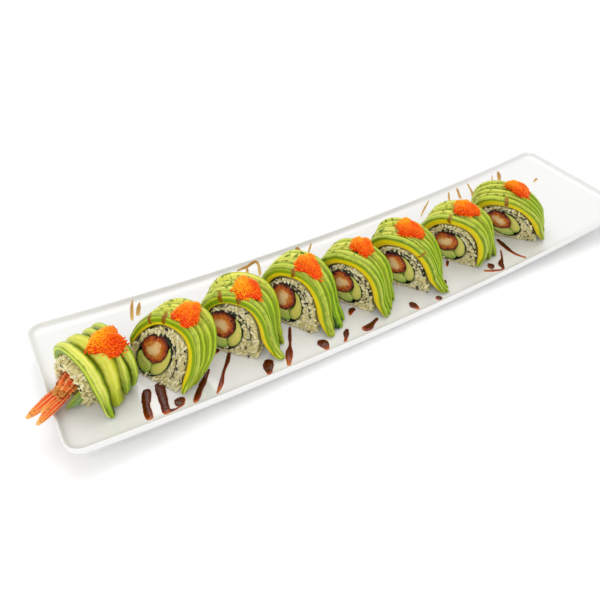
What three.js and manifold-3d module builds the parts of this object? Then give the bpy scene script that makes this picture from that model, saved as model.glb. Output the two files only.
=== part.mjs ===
// Uramaki roll on its plate, in millimetres, +Z up.
//
// An inside-out prawn roll, cut into eight pieces, lies in a row on a long, slim
// porcelain plate whose two ends curve up. From the middle outwards a piece holds
// a tempura prawn, a cucumber stick and an avocado stick, a sheet of nori around
// them, rice, a fan of avocado slices draped over the rice, and a heap of masago.
// The first piece is the roll's raw end, where the prawn's tail sticks out.
//
// The origin is the middle of the plate's flat foot, and +X runs along the plate.

import * as THREE from 'three';
import { mergeVertices } from 'three/addons/utils/BufferGeometryUtils.js';
import Module from 'manifold-3d';

const wasm = await Module();
wasm.setup();

// ---------------------------------------------------------------- plate sizes

const PLATE_LENGTH = 414;
const PLATE_WIDTH = 100;
const PLATE_BOW = 11.25;          // how far the two ends curve up
const PLATE_CORNER = 9;
const FLOOR_TOP = 5;              // the upper face, above the table, at the middle
const RIM_TOP = 8.6;
const UNDERSIDE = 1.2;
const FOOT_LENGTH = 144;
const FOOT_WIDTH = 60;
const FOOT_CORNER = 10;
const FOOT_FLARE = 1.5;           // how much wider the foot is at its top

// The body's rings from the underside, over the lip and down to the floor:
// how far each lies in from the edge, its height and its corner radius.
const LIP = [
  [6, UNDERSIDE, 6],
  [1.5, UNDERSIDE + 1.2, PLATE_CORNER - 1],
  [0, RIM_TOP - 1, PLATE_CORNER],
  [0.8, RIM_TOP, PLATE_CORNER - 0.6],
  [1.6, RIM_TOP - 0.6, PLATE_CORNER - 1.2],
  [3.0, FLOOR_TOP + 0.8, PLATE_CORNER - 2.2],
  [6.0, FLOOR_TOP, PLATE_CORNER - 3.5],
];

// ----------------------------------------------------------------- roll sizes

const GAP = 0.3;                  // clear space left between pieces that touch
const ARCH_POWER = 2.5;           // the section is a half superellipse of this power
const NORI_THICKNESS = 0.5;
const NORI_RADIUS = [10.8, 12.9]; // half the width and height of the nori's tube
const SLICE_THIN = 5;             // an avocado slice, at its covered edge
const SLICE_THICK = 6;            // and where it shows

// Each piece's near cut face stands at x, y on the plate. yaw turns its length
// from +X towards +Y. lean and tilt say how far the top leans along the piece's
// length and towards the plate's front, for each millimetre of height. The
// filling's middle is [towards the front, up], and turn is how far it lies rolled
// round. flare is how far the first and the last slice's feet spread on the
// plate, from flareHeight down, and feet is how far along they stand. masago is
// the heap's place along the piece and towards the front, half its length, half
// its width and its height. The raw end's filling is thinner (shrink), its rice
// bulges out past the avocado (bulge) and its first slice overhangs (start).
const PIECES = [
  { x: -190.5, y: -8.0, yaw: 19, lean: -0.12, tilt: 0.30, width: 44.0, height: 38.5,
    length: 24.5, slices: 4, flare: [10.0, 2.0], flareHeight: 26, feet: [-2.0, 21.0],
    turn: 75, middle: [1.6, 12.2], shrink: 0.85, bulge: 5, start: -1.8,
    masago: [15.5, 5.0, 8.5, 8.5, 6.4] },
  { x: -156.0, y: -18.0, yaw: 29, lean: 0.37, tilt: 0.26, width: 50.7, height: 38.7,
    length: 18.5, slices: 4, flare: [3.0, 4.0], flareHeight: 14, feet: [-1.0, 19.0],
    turn: 0, middle: [-3.0, 14.0], masago: [5.5, 3.0, 6.6, 7.0, 6.6] },
  { x: -109.2, y: -20.1, yaw: 45, lean: 0.18, tilt: 0.06, width: 49.2, height: 38.6,
    length: 23.3, slices: 4, flare: [11.0, 8.5], flareHeight: 17, feet: [2.5, 18.5],
    turn: 10, middle: [-3.6, 14.9], masago: [7.0, 4.6, 6.8, 8.0, 6.0] },
  { x: -66.8, y: -16.9, yaw: 34, lean: 0.16, tilt: -0.05, width: 49.0, height: 38.7,
    length: 21.8, slices: 4, flare: [8.5, 8.0], flareHeight: 16, feet: [0.5, 22.0],
    turn: 12, middle: [-2.4, 15.4], masago: [8.0, 7.2, 6.4, 8.0, 6.0] },
  { x: -25.1, y: -17.9, yaw: 32, lean: -0.04, tilt: -0.02, width: 49.6, height: 38.1,
    length: 22.4, slices: 5, flare: [8.5, 8.0], flareHeight: 15, feet: [-0.5, 19.0],
    turn: 26, middle: [-0.6, 14.8], masago: [13.5, 3.6, 6.2, 7.0, 6.2] },
  { x: 16.4, y: -21.7, yaw: 37, lean: -0.07, tilt: -0.18, width: 49.8, height: 38.2,
    length: 25.0, slices: 6, flare: [9.0, 6.0], flareHeight: 14, feet: [2.0, 15.0],
    turn: 22, middle: [-0.6, 15.2], masago: [13.4, 5.2, 7.0, 8.4, 6.0] },
  { x: 60.3, y: -17.1, yaw: 32, lean: -0.12, tilt: 0.04, width: 51.6, height: 37.9,
    length: 24.5, slices: 4, flare: [0.5, 8.5], flareHeight: 16, feet: [-1.0, 21.5],
    turn: 30, middle: [-0.4, 14.0], masago: [13.2, 2.4, 7.0, 8.4, 5.4] },
  { x: 112.8, y: -21.5, yaw: 40, lean: -0.29, tilt: -0.28, width: 52.3, height: 37.6,
    length: 25.2, slices: 5, flare: [4.0, 3.0], flareHeight: 13, feet: [2.0, 19.5],
    turn: 30, middle: [-0.8, 14.8], masago: [17.0, 10.0, 6.4, 7.4, 6.4] },
];

// ------------------------------------------------------------------ materials

const finish = (color, roughness, metalness = 0) =>
  new THREE.MeshStandardMaterial({ color, roughness, metalness });

const FINISHES = {
  porcelain: finish(0xf2f2f0, 0.15),
  rice: finish(0xdfdcd0, 0.55),
  nori: finish(0x16201a, 0.6),
  prawn: finish(0xb4541c, 0.6),
  cucumber: finish(0x9dbb5a, 0.35),
  avocado: finish(0x93b93a, 0.4),
  avocado_stick: finish(0xc9c24e, 0.45),
  masago: finish(0xf2610c, 0.3),
  tail: finish(0xd9431a, 0.35),
};

const object = new THREE.Group();

function place(parent, name, geometry, material) {
  const mesh = new THREE.Mesh(geometry, material);
  mesh.name = name;
  parent.add(mesh);
}

// A closed body from a list of points and a list of polygons of point numbers.
function closedBody(points, polygons) {
  const positions = [];
  for (const polygon of polygons) {
    for (let i = 1; i + 1 < polygon.length; i++) {
      positions.push(...points[polygon[0]], ...points[polygon[i]], ...points[polygon[i + 1]]);
    }
  }
  const geometry = new THREE.BufferGeometry();
  geometry.setAttribute('position', new THREE.Float32BufferAttribute(positions, 3));
  geometry.computeVertexNormals();
  return geometry;
}

// ---------------------------------------------------------------------- plate

const bow = (x) => PLATE_BOW * (2 * x / PLATE_LENGTH) ** 2;

const CORNER_STEPS = 3;
const SIDE_STEPS = 12;

// The front half of a rounded rectangle's outline, from its -X end to its +X end.
function frontChain(halfLength, halfWidth, radius) {
  const chain = [];
  for (let i = 0; i <= CORNER_STEPS; i++) {
    const angle = Math.PI / 2 * i / CORNER_STEPS;
    chain.push([
      -halfLength + radius * (1 - Math.cos(angle)),
      -halfWidth + radius * (1 - Math.sin(angle)),
    ]);
  }
  for (let i = 1; i < SIDE_STEPS; i++) {
    chain.push([(halfLength - radius) * (2 * i / SIDE_STEPS - 1), -halfWidth]);
  }
  const right = chain.slice(0, CORNER_STEPS + 1).reverse().map(([x, y]) => [-x, y]);
  return chain.concat(right);
}

function makePlate() {
  const halfLength = PLATE_LENGTH / 2;
  const halfWidth = PLATE_WIDTH / 2;
  const foot = (grow, z, bowed) => ({
    chain: frontChain(FOOT_LENGTH / 2 + grow, FOOT_WIDTH / 2 + grow, FOOT_CORNER + grow), z, bowed,
  });
  const body = LIP.map(([inset, z, corner]) => ({
    chain: frontChain(halfLength - inset, halfWidth - inset, corner), z, bowed: true,
  }));
  const shoulder = [(halfLength + FOOT_LENGTH / 2) / 2, (halfWidth + FOOT_WIDTH / 2) / 2];
  const rings = [
    foot(0, 0, false),
    foot(FOOT_FLARE, UNDERSIDE, true),
    { chain: frontChain(...shoulder, PLATE_CORNER), z: UNDERSIDE, bowed: true },
    ...body,
  ];
  const chainLength = rings[0].chain.length;
  const ringLength = 2 * chainLength;
  const points = [];
  for (const { chain, z, bowed } of rings) {
    const back = chain.map(([x, y]) => [x, -y]).reverse();
    for (const [x, y] of chain.concat(back)) {
      points.push([x, y, z + (bowed ? bow(x) : 0)]);
    }
  }
  const polygons = [];
  for (let ring = 0; ring + 1 < rings.length; ring++) {
    for (let i = 0; i < ringLength; i++) {
      const next = (i + 1) % ringLength;
      const low = ring * ringLength;
      const high = low + ringLength;
      polygons.push([low + i, low + next, high + next, high + i]);
    }
  }
  const top = (rings.length - 1) * ringLength;
  for (let i = 0; i + 1 < chainLength; i++) {
    const back = ringLength - 1 - i;
    polygons.push([i, back, back - 1, i + 1]);
    polygons.push([top + i, top + i + 1, top + back - 1, top + back]);
  }
  return closedBody(points, polygons);
}

place(object, 'plate', makePlate(), FINISHES.porcelain);

// ------------------------------------------------------- sections of the roll

// A section's points are [towards the back, up], so that x, y and the depth of
// an extrusion turn into the piece's own y, z and x.

const ARCH_STEPS = 11;
const degrees = Math.PI / 180;

// A point on the arch: 0 is its back foot, 0.5 its top and 1 its front foot.
function archPoint(t, halfWidth, height) {
  const across = Math.cos(Math.PI * t);
  const up = Math.sin(Math.PI * t);
  const power = 2 / ARCH_POWER;
  return [
    halfWidth * Math.sign(across) * Math.abs(across) ** power,
    height * Math.abs(up) ** power,
  ];
}

// A point on an oval whose corners are squarer as the power grows.
function ovalPoint(angle, radii, power = 2) {
  const across = Math.cos(angle);
  const up = Math.sin(angle);
  return [
    radii[0] * Math.sign(across) * Math.abs(across) ** (2 / power),
    radii[1] * Math.sign(up) * Math.abs(up) ** (2 / power),
  ];
}

// The filling is drawn around its own middle, with the front at the right.
// This turns, shrinks and moves it to its place in a piece's section.
function fillingPlace(piece) {
  const turn = piece.turn * degrees;
  const { shrink = 1, middle } = piece;
  const [front, up] = middle;
  return ([x, y]) => [
    -(front + shrink * (x * Math.cos(turn) - y * Math.sin(turn))),
    up + shrink * (x * Math.sin(turn) + y * Math.cos(turn)),
  ];
}

const CUCUMBER = { centre: [-3.4, -7.9], radii: [3.2, 2.7], power: 2.8, turn: 0, points: 10 };
const AVOCADO_STICK = { centre: [5.3, -5.3], radii: [2.6, 5.2], power: 2.6, turn: -35, points: 10 };
const PRAWN = { centre: [-1.3, 3.4], radii: [7.6, 8.2], power: 2, turn: 0, points: 14 };

function fillingOutline({ centre, radii, power, turn, points }, piece, unevenness = 0) {
  const toSection = fillingPlace(piece);
  const outline = [];
  for (let i = 0; i < points; i++) {
    const angle = -2 * Math.PI * i / points;
    const [x, y] = ovalPoint(angle, radii, power);
    const grow = 1 - unevenness * (0.5 + 0.5 * Math.sin(3 * angle + 2 * piece.yaw));
    const c = Math.cos(turn * degrees);
    const s = Math.sin(turn * degrees);
    outline.push(toSection([
      centre[0] + grow * (x * c - y * s),
      centre[1] + grow * (x * s + y * c),
    ]));
  }
  return outline;
}

// The nori starts inside at NORI_START, goes once round the filling, then lifts
// off as a flap that ends inside the rice at NORI_END.
const NORI_START = 75;
const NORI_END = -25;
const NORI_STEP = 20;
const FLAP_LIFT = 0.95;
const FLAP_RISE = 5;
const WEDGE_TIP = 25;             // where the rice between flap and ring starts

function noriPoint(angle, outwards) {
  const [x, y] = ovalPoint(angle * degrees, NORI_RADIUS);
  const length = Math.hypot(x, y);
  const grow = (length - NORI_THICKNESS / 2 + outwards) / length;
  return [x * grow, y * grow];
}

const flapLift = (angle) =>
  FLAP_LIFT + FLAP_RISE * ((NORI_START - angle) / (NORI_START - NORI_END)) ** 1.4;

function noriOutline(piece) {
  const toSection = fillingPlace(piece);
  const half = NORI_THICKNESS / 2;
  const outer = [];
  const inner = [];
  for (let angle = NORI_START + 360; angle >= NORI_START + 40; angle -= NORI_STEP) {
    outer.push(toSection(noriPoint(angle, half)));
    inner.push(toSection(noriPoint(angle, -half)));
  }
  for (let angle = NORI_START; angle >= NORI_END; angle -= NORI_STEP) {
    const lift = flapLift(angle);
    outer.push(toSection(noriPoint(angle, lift + half)));
    inner.push(toSection(noriPoint(angle, lift - half)));
  }
  return outer.concat(inner.reverse());
}

// The space that the rice leaves for the nori and its flap.
function riceHollow(piece) {
  const toSection = fillingPlace(piece);
  const clear = NORI_THICKNESS / 2 + GAP / (piece.shrink ?? 1);
  const hollow = [];
  for (let angle = NORI_END; angle <= NORI_START; angle += NORI_STEP) {
    hollow.push(toSection(noriPoint(angle, flapLift(angle) + clear)));
  }
  for (let angle = NORI_START + 40; angle < WEDGE_TIP + 360; angle += NORI_STEP) {
    hollow.push(toSection(noriPoint(angle, clear)));
  }
  for (let angle = WEDGE_TIP - 5; angle >= NORI_END; angle -= NORI_STEP) {
    hollow.push(toSection(noriPoint(angle, flapLift(angle) - clear)));
  }
  const end = flapLift(NORI_END);
  hollow.push(toSection(noriPoint(NORI_END - 3, end - clear)));
  hollow.push(toSection(noriPoint(NORI_END - 3, end + clear)));
  return hollow;
}

const RICE_TUCK = 1.6;            // how far the rice's lower corners are rounded in
const RICE_TUCK_HEIGHT = 6;
const RICE_STEPS = 15;
const RICE_UNEVEN = 0.012;

function riceOutline(piece) {
  const halfWidth = piece.width / 2 - SLICE_THICK - GAP;
  const height = piece.height - SLICE_THICK - GAP;
  const outline = [];
  for (let i = 0; i <= RICE_STEPS; i++) {
    const t = i / RICE_STEPS;
    const [across, up] = archPoint(t, halfWidth, height);
    const uneven = 1 - RICE_UNEVEN * (1 + Math.sin(9 * t + piece.x));
    const low = Math.max(0, 1 - up / RICE_TUCK_HEIGHT);
    outline.push([(across - Math.sign(across) * RICE_TUCK * low ** 2) * uneven, up * uneven]);
  }
  return outline;
}

// -------------------------------------------------------- bodies of the roll

// Leans the top of a piece as its place on the plate says.
function settle(geometry, piece) {
  const position = geometry.getAttribute('position');
  for (let i = 0; i < position.count; i++) {
    const z = position.getZ(i);
    position.setX(i, position.getX(i) + piece.lean * z);
    position.setY(i, position.getY(i) - piece.tilt * z);
  }
  geometry.computeVertexNormals();
  return geometry;
}

const TO_PIECE_AXES = new THREE.Matrix4().set(
  0, 0, 1, 0,
  1, 0, 0, 0,
  0, 1, 0, 0,
  0, 0, 0, 1,
);

const BULGE_ROUNDING = 0.22;
const BULGE_MIDDLE = 0.45;        // where the rounded end has a ring of its own

const vectors = (points) => points.map(([x, y]) => new THREE.Vector2(x, y));

// A straight length of one section, as long as the piece. With a bulge it
// starts that much earlier, in a rounded end.
function straightLength(outline, piece, hollow = null, bulge = 0) {
  const shape = new THREE.Shape(vectors(outline));
  if (hollow) {
    shape.holes.push(new THREE.Path(vectors(hollow)));
  }
  const stations = bulge ? [-bulge, -BULGE_MIDDLE * bulge, 0, piece.length] : [0, piece.length];
  const steps = stations.length - 1;
  const geometry = new THREE.ExtrudeGeometry(shape, {
    depth: steps, steps, bevelEnabled: false,
  });
  const position = geometry.getAttribute('position');
  const [front, up] = piece.middle;
  for (let i = 0; i < position.count; i++) {
    const along = stations[Math.round(position.getZ(i))];
    const x = position.getX(i);
    const y = position.getY(i);
    const isOuter = outline.some(([a, b]) => Math.hypot(a - x, b - y) < 1e-3);
    const drawnIn = isOuter ? BULGE_ROUNDING * (Math.min(0, along) / (bulge || 1)) ** 2 : 0;
    position.setXYZ(i, x + (-front - x) * drawnIn, y + (up - y) * drawnIn, along);
  }
  geometry.applyMatrix4(TO_PIECE_AXES);
  return settle(geometry, piece);
}

// A body lofted through loops of [towards the back, up, along] that have the same
// number of points. Both ends are closed by the loop's own matching halves.
function lofted(sections, piece) {
  const count = sections[0].length;
  const points = sections.flat().map(([across, up, along]) => [along, across, up]);
  const polygons = [];
  for (let k = 0; k + 1 < sections.length; k++) {
    for (let i = 0; i < count; i++) {
      const next = (i + 1) % count;
      polygons.push([k * count + i, k * count + next, (k + 1) * count + next, (k + 1) * count + i]);
    }
  }
  const last = (sections.length - 1) * count;
  for (let i = 0; i + 1 < count / 2; i++) {
    const mirror = count - 1 - i;
    polygons.push([i, mirror, mirror - 1, i + 1]);
    polygons.push([last + i, last + i + 1, last + mirror - 1, last + mirror]);
  }
  return settle(closedBody(points, polygons), piece);
}

// The avocado fan: slices that overlap like shingles along the piece, draped
// over the rice from near the plate at the back to the plate at the front.
const FAN_START = 0.05;
const FOOT_CLEAR = 0.35;
const GATHER_START = 0.6;         // where over the roll the slices turn to their feet
const CREST = 0.7;                // where a slice is thickest, across its width
const FLARE_CURVE = 2.2;          // how suddenly the slices run out to their toes

const { lerp } = THREE.MathUtils;

function fanPoint(t, piece, thickness, share) {
  const [across, up] = archPoint(
    t,
    piece.width / 2 - SLICE_THICK + thickness,
    piece.height - SLICE_THICK + thickness,
  );
  const low = Math.max(0, 1 - up / piece.flareHeight);
  const spread = across < 0 ? lerp(...piece.flare, share) * low ** FLARE_CURVE : 0;
  const top = lerp(piece.start ?? 0, piece.length, share);
  const foot = lerp(...piece.feet, share);
  const gathered = Math.max(0, (t - GATHER_START) / (1 - GATHER_START)) ** 1.3;
  return [across - spread, Math.max(up, FOOT_CLEAR), lerp(top, foot, gathered)];
}

function avocadoFan(piece) {
  const sections = [];
  const addSection = (share, thickness) => {
    const outer = [];
    const inner = [];
    for (let i = 0; i <= ARCH_STEPS; i++) {
      const t = FAN_START + (1 - FAN_START) * i / ARCH_STEPS;
      outer.push(fanPoint(t, piece, thickness, share));
      inner.push(fanPoint(t, piece, 0, share));
    }
    sections.push(outer.concat(inner.reverse()));
  };
  for (let slice = 0; slice < piece.slices; slice++) {
    addSection(slice / piece.slices, SLICE_THIN);
    addSection((slice + CREST) / piece.slices, SLICE_THICK);
  }
  addSection(1, SLICE_THIN);
  return lofted(sections, piece);
}

// The height of the avocado's top at a place across the piece.
function fanTop(across, piece) {
  const share = Math.min(0.98, Math.abs(2 * across / piece.width));
  return piece.height * (1 - share ** ARCH_POWER) ** (1 / ARCH_POWER);
}

const HEAP_RINGS = 3;
const HEAP_SIDES = 12;
const HEAP_EDGE = 0.8;            // how thick the heap is at its edge
const HEAP_LUMP = 0.35;

function masagoHeap(piece) {
  const [along, front, halfLength, halfWidth, height] = piece.masago;
  const points = [];
  const heapPoint = (ring, side) => {
    const angle = 2 * Math.PI * side / HEAP_SIDES;
    const reach = Math.min(1, ring / HEAP_RINGS);
    const uneven = 1 + 0.1 * Math.sin(3 * angle + piece.x) + 0.06 * Math.sin(5 * angle + piece.y);
    const x = along + halfLength * reach * uneven * Math.cos(angle);
    const y = -front + halfWidth * reach * uneven * Math.sin(angle);
    return { x, y, reach };
  };
  const ringHeight = (reach) => height * Math.sqrt(Math.max(0, 1 - reach ** 2.4));
  for (let ring = 1; ring <= HEAP_RINGS; ring++) {
    for (let side = 0; side < HEAP_SIDES; side++) {
      const { x, y, reach } = heapPoint(ring, side);
      const lump = HEAP_LUMP * Math.sin(2.1 * x + piece.x) * Math.cos(1.9 * y) * (1 - reach);
      const thin = ring === HEAP_RINGS ? HEAP_EDGE : 0;
      points.push([x, y, fanTop(y, piece) + GAP + thin + ringHeight(reach) + lump]);
    }
  }
  for (let ring = HEAP_RINGS; ring >= 1; ring--) {
    for (let side = 0; side < HEAP_SIDES; side++) {
      const { x, y } = heapPoint(ring, side);
      points.push([x, y, fanTop(y, piece) + GAP]);
    }
  }
  const rings = 2 * HEAP_RINGS;
  const polygons = [];
  for (let ring = 0; ring + 1 < rings; ring++) {
    for (let side = 0; side < HEAP_SIDES; side++) {
      const next = (side + 1) % HEAP_SIDES;
      const a = ring * HEAP_SIDES;
      const b = a + HEAP_SIDES;
      polygons.push([a + next, a + side, b + side, b + next]);
    }
  }
  const lastRing = (rings - 1) * HEAP_SIDES;
  polygons.push([...Array(HEAP_SIDES).keys()]);
  polygons.push([...Array(HEAP_SIDES).keys()].map((side) => lastRing + HEAP_SIDES - 1 - side));
  return settle(closedBody(points, polygons), piece);
}

// -------------------------------------------------------------- the raw end

// The cucumber stick's end runs out of the rice to a point that droops.
const POINT_REACH = 14;
const POINT_TIP = [-8.5, 3.2];
const POINT_TAPER = 0.85;

function cucumberPoint(outline, piece) {
  const meanOf = (axis) => outline.reduce((sum, point) => sum + point[axis], 0) / outline.length;
  const middle = [meanOf(0), meanOf(1)];
  const sectionAt = (reach) => {
    const share = reach / POINT_REACH;
    const size = 1 - POINT_TAPER * share;
    return outline.map(([x, y]) => [
      lerp(middle[0], POINT_TIP[0], share) + size * (x - middle[0]),
      lerp(middle[1], POINT_TIP[1], share) + size * (y - middle[1]),
      -reach,
    ]);
  };
  const farEnd = outline.map(([x, y]) => [x, y, piece.length]);
  return lofted([sectionAt(POINT_REACH), sectionAt(POINT_REACH / 2), sectionAt(0), farEnd], piece);
}

// A rod of oval sections: each station is [along, front, up, radii].
function ovalRod(stations, piece) {
  const sides = 10;
  const sections = stations.map(([along, front, up, radii]) => {
    const loop = [];
    for (let i = 0; i < sides; i++) {
      const [x, y] = ovalPoint(2 * Math.PI * (i + 0.5) / sides, radii);
      loop.push([x - front, y + up, along]);
    }
    return loop;
  });
  return lofted(sections, piece);
}

function manifoldOf(geometry) {
  geometry.deleteAttribute('normal');
  geometry.deleteAttribute('uv');
  const merged = mergeVertices(geometry, 1e-4);
  return new wasm.Manifold(new wasm.Mesh({
    numProp: 3,
    vertProperties: new Float32Array(merged.getAttribute('position').array),
    triVerts: new Uint32Array(merged.getIndex().array),
  }));
}

function joined(geometries) {
  const whole = geometries.map(manifoldOf).reduce((sum, next) => sum.add(next));
  const { vertProperties, triVerts } = whole.getMesh();
  const geometry = new THREE.BufferGeometry();
  geometry.setAttribute('position', new THREE.Float32BufferAttribute(vertProperties, 3));
  geometry.setIndex(new THREE.Uint32BufferAttribute(triVerts, 1));
  geometry.computeVertexNormals();
  return geometry;
}

// The prawn's last shell segment, and the two lobes of its tail fan.
function prawnTail(piece) {
  const segment = [
    [-12, 2.1, 9.0, [3.4, 2.2]],
    [-7, 0.8, 10.2, [4.4, 3.4]],
    [-GAP, -1.2, 11.8, [5.6, 5.2]],
  ];
  const leftLobe = [
    [-31.5, 1.2, 4.6, [0.9, 0.7]],
    [-28, 1.1, 5.2, [2.0, 1.1]],
    [-20, 1.3, 6.9, [2.6, 1.3]],
    [-10, 1.2, 9.4, [2.2, 1.5]],
  ];
  const rightLobe = [
    [-30, 8.4, 4.2, [0.9, 0.7]],
    [-26, 7.2, 5.0, [2.1, 1.1]],
    [-19, 4.8, 6.7, [2.6, 1.3]],
    [-10, 2.9, 9.1, [2.2, 1.5]],
  ];
  return joined([segment, leftLobe, rightLobe].map((stations) => ovalRod(stations, piece)));
}

// ----------------------------------------------------------- the eight pieces

const PLATE_CLEAR = 0.5;          // under a piece, because the plate curves

PIECES.forEach((piece, index) => {
  const number = index + 1;
  const onPlate = new THREE.Group();
  const slope = 8 * PLATE_BOW * piece.x / PLATE_LENGTH ** 2;
  onPlate.position.set(piece.x, piece.y, FLOOR_TOP + bow(piece.x) + PLATE_CLEAR);
  onPlate.rotation.y = -Math.atan(slope);
  const turned = new THREE.Group();
  turned.rotation.z = piece.yaw * degrees;
  onPlate.add(turned);
  object.add(onPlate);

  const add = (kind, geometry, material) =>
    place(turned, `${kind}_${number}`, geometry, material);
  const straight = (outline) => straightLength(outline, piece);

  const rice = straightLength(riceOutline(piece), piece, riceHollow(piece), piece.bulge);
  const cucumber = fillingOutline(CUCUMBER, piece);
  add('rice', rice, FINISHES.rice);
  add('nori', straight(noriOutline(piece)), FINISHES.nori);
  add('prawn', straight(fillingOutline(PRAWN, piece, 0.05)), FINISHES.prawn);
  add('cucumber', piece.bulge ? cucumberPoint(cucumber, piece) : straight(cucumber), FINISHES.cucumber);
  add('avocado_stick', straight(fillingOutline(AVOCADO_STICK, piece)), FINISHES.avocado_stick);
  add('avocado_fan', avocadoFan(piece), FINISHES.avocado);
  add('masago', masagoHeap(piece), FINISHES.masago);
  if (piece.bulge) {
    place(turned, 'prawn_tail', prawnTail(piece), FINISHES.tail);
  }
});

export default object;
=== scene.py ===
# Uramaki roll on its plate: eight cut pieces of a prawn roll under avocado slices
# and masago, in a row on a long porcelain plate, with drizzled sauce.
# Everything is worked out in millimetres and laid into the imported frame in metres.
import math
import random

import bmesh
import bpy
from mathutils import Matrix, Vector, noise


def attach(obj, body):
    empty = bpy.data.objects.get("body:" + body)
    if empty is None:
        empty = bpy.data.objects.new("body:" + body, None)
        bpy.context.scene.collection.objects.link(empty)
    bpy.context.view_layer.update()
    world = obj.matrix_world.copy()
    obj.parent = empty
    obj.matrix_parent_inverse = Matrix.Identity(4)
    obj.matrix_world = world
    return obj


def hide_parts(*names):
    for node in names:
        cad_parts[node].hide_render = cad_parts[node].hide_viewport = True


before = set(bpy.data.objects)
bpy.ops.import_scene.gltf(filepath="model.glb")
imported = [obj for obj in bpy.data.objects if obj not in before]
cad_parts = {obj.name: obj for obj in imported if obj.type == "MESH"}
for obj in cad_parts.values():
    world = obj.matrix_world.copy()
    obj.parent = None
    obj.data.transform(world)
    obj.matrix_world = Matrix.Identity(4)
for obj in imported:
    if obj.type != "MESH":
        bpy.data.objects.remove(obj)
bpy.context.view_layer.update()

MM = 0.001

# ============================================================ camera and studio
# The camera looks down along the row from the raw end's side. A large soft light
# hangs behind the plate, a weaker one fills from the front, and the floor is white.

VIEW_TARGET = Vector((-50.15, -2.59, 8.6)) * MM
VIEW_DISTANCE = 368.19 * MM
VIEW_AZIMUTH = math.radians(-30.41)
VIEW_ELEVATION = math.radians(43.20)
LENS = 34.434
SENSOR_WIDTH = 36.0
CLIP_START = 0.01
WORLD_STRENGTH = 0.80

view_back = Vector((
    math.sin(VIEW_AZIMUTH) * math.cos(VIEW_ELEVATION),
    -math.cos(VIEW_AZIMUTH) * math.cos(VIEW_ELEVATION),
    math.sin(VIEW_ELEVATION),
))
camera_data = bpy.data.cameras.new("camera")
camera_data.lens = LENS
camera_data.sensor_width = SENSOR_WIDTH
camera_data.clip_start = CLIP_START
camera = bpy.data.objects.new("camera", camera_data)
camera.location = VIEW_TARGET + VIEW_DISTANCE * view_back
camera.rotation_mode = "QUATERNION"
camera.rotation_quaternion = (-view_back).to_track_quat("-Z", "Y")
bpy.context.scene.collection.objects.link(camera)
bpy.context.scene.camera = camera


def soft_light(name, place, size, power, tint=(1, 1, 1)):
    data = bpy.data.lights.new(name, "AREA")
    data.shape = "DISK"
    data.size = size
    data.energy = power
    data.color = tint
    light = bpy.data.objects.new(name, data)
    light.location = place
    light.rotation_mode = "QUATERNION"
    light.rotation_quaternion = (-Vector(place)).to_track_quat("-Z", "Y")
    bpy.context.scene.collection.objects.link(light)


soft_light("key", (0.15, 0.30, 0.85), 0.90, 3.4, (1.0, 0.985, 0.96))
soft_light("fill", (-0.45, -0.55, 0.60), 0.70, 1.9, (1.0, 0.99, 0.97))

world = bpy.data.worlds.new("studio")
world.use_nodes = True
world.node_tree.nodes["Background"].inputs["Color"].default_value = (1.0, 1.0, 1.0, 1.0)
world.node_tree.nodes["Background"].inputs["Strength"].default_value = WORLD_STRENGTH
bpy.context.scene.world = world
bpy.context.scene.view_settings.view_transform = "Standard"


def shade(red, green, blue):
    """A colour given as it looks on a screen, from 0 to 255, as Blender's linear one."""
    def linear(value):
        value /= 255
        return value / 12.92 if value <= 0.04045 else ((value + 0.055) / 1.055) ** 2.4
    return (linear(red), linear(green), linear(blue), 1.0)


def make_mottle():
    """A node group for the uneven tone and the fine grain that a natural surface has."""
    group = bpy.data.node_groups.new("mottle", "ShaderNodeTree")
    for name, value in (("Patch Size", 0.01), ("Grain Size", 0.001), ("Contrast", 1.0)):
        socket = group.interface.new_socket(name, in_out="INPUT", socket_type="NodeSocketFloat")
        socket.default_value = value
    group.interface.new_socket("Tone", in_out="OUTPUT", socket_type="NodeSocketFloat")
    group.interface.new_socket("Height", in_out="OUTPUT", socket_type="NodeSocketFloat")
    nodes, links = group.nodes, group.links
    inside = nodes.new("NodeGroupInput")
    outside = nodes.new("NodeGroupOutput")
    place = nodes.new("ShaderNodeTexCoord")

    def noise_of(size_socket, detail):
        scale = nodes.new("ShaderNodeMath")
        scale.operation = "DIVIDE"
        scale.inputs[0].default_value = 1.0
        links.new(inside.outputs[size_socket], scale.inputs[1])
        texture = nodes.new("ShaderNodeTexNoise")
        texture.inputs["Detail"].default_value = detail
        links.new(place.outputs["Object"], texture.inputs["Vector"])
        links.new(scale.outputs[0], texture.inputs["Scale"])
        return texture

    patches = noise_of("Patch Size", 3.0)
    grain = noise_of("Grain Size", 2.0)
    spread = nodes.new("ShaderNodeMath")
    spread.operation = "MULTIPLY_ADD"
    centred = nodes.new("ShaderNodeMath")
    centred.operation = "SUBTRACT"
    centred.inputs[1].default_value = 0.5
    links.new(patches.outputs["Fac"], centred.inputs[0])
    links.new(centred.outputs[0], spread.inputs[0])
    links.new(inside.outputs["Contrast"], spread.inputs[1])
    spread.inputs[2].default_value = 0.5
    links.new(spread.outputs[0], outside.inputs["Tone"])
    links.new(grain.outputs["Fac"], outside.inputs["Height"])
    return group


mottle = make_mottle()


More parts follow.
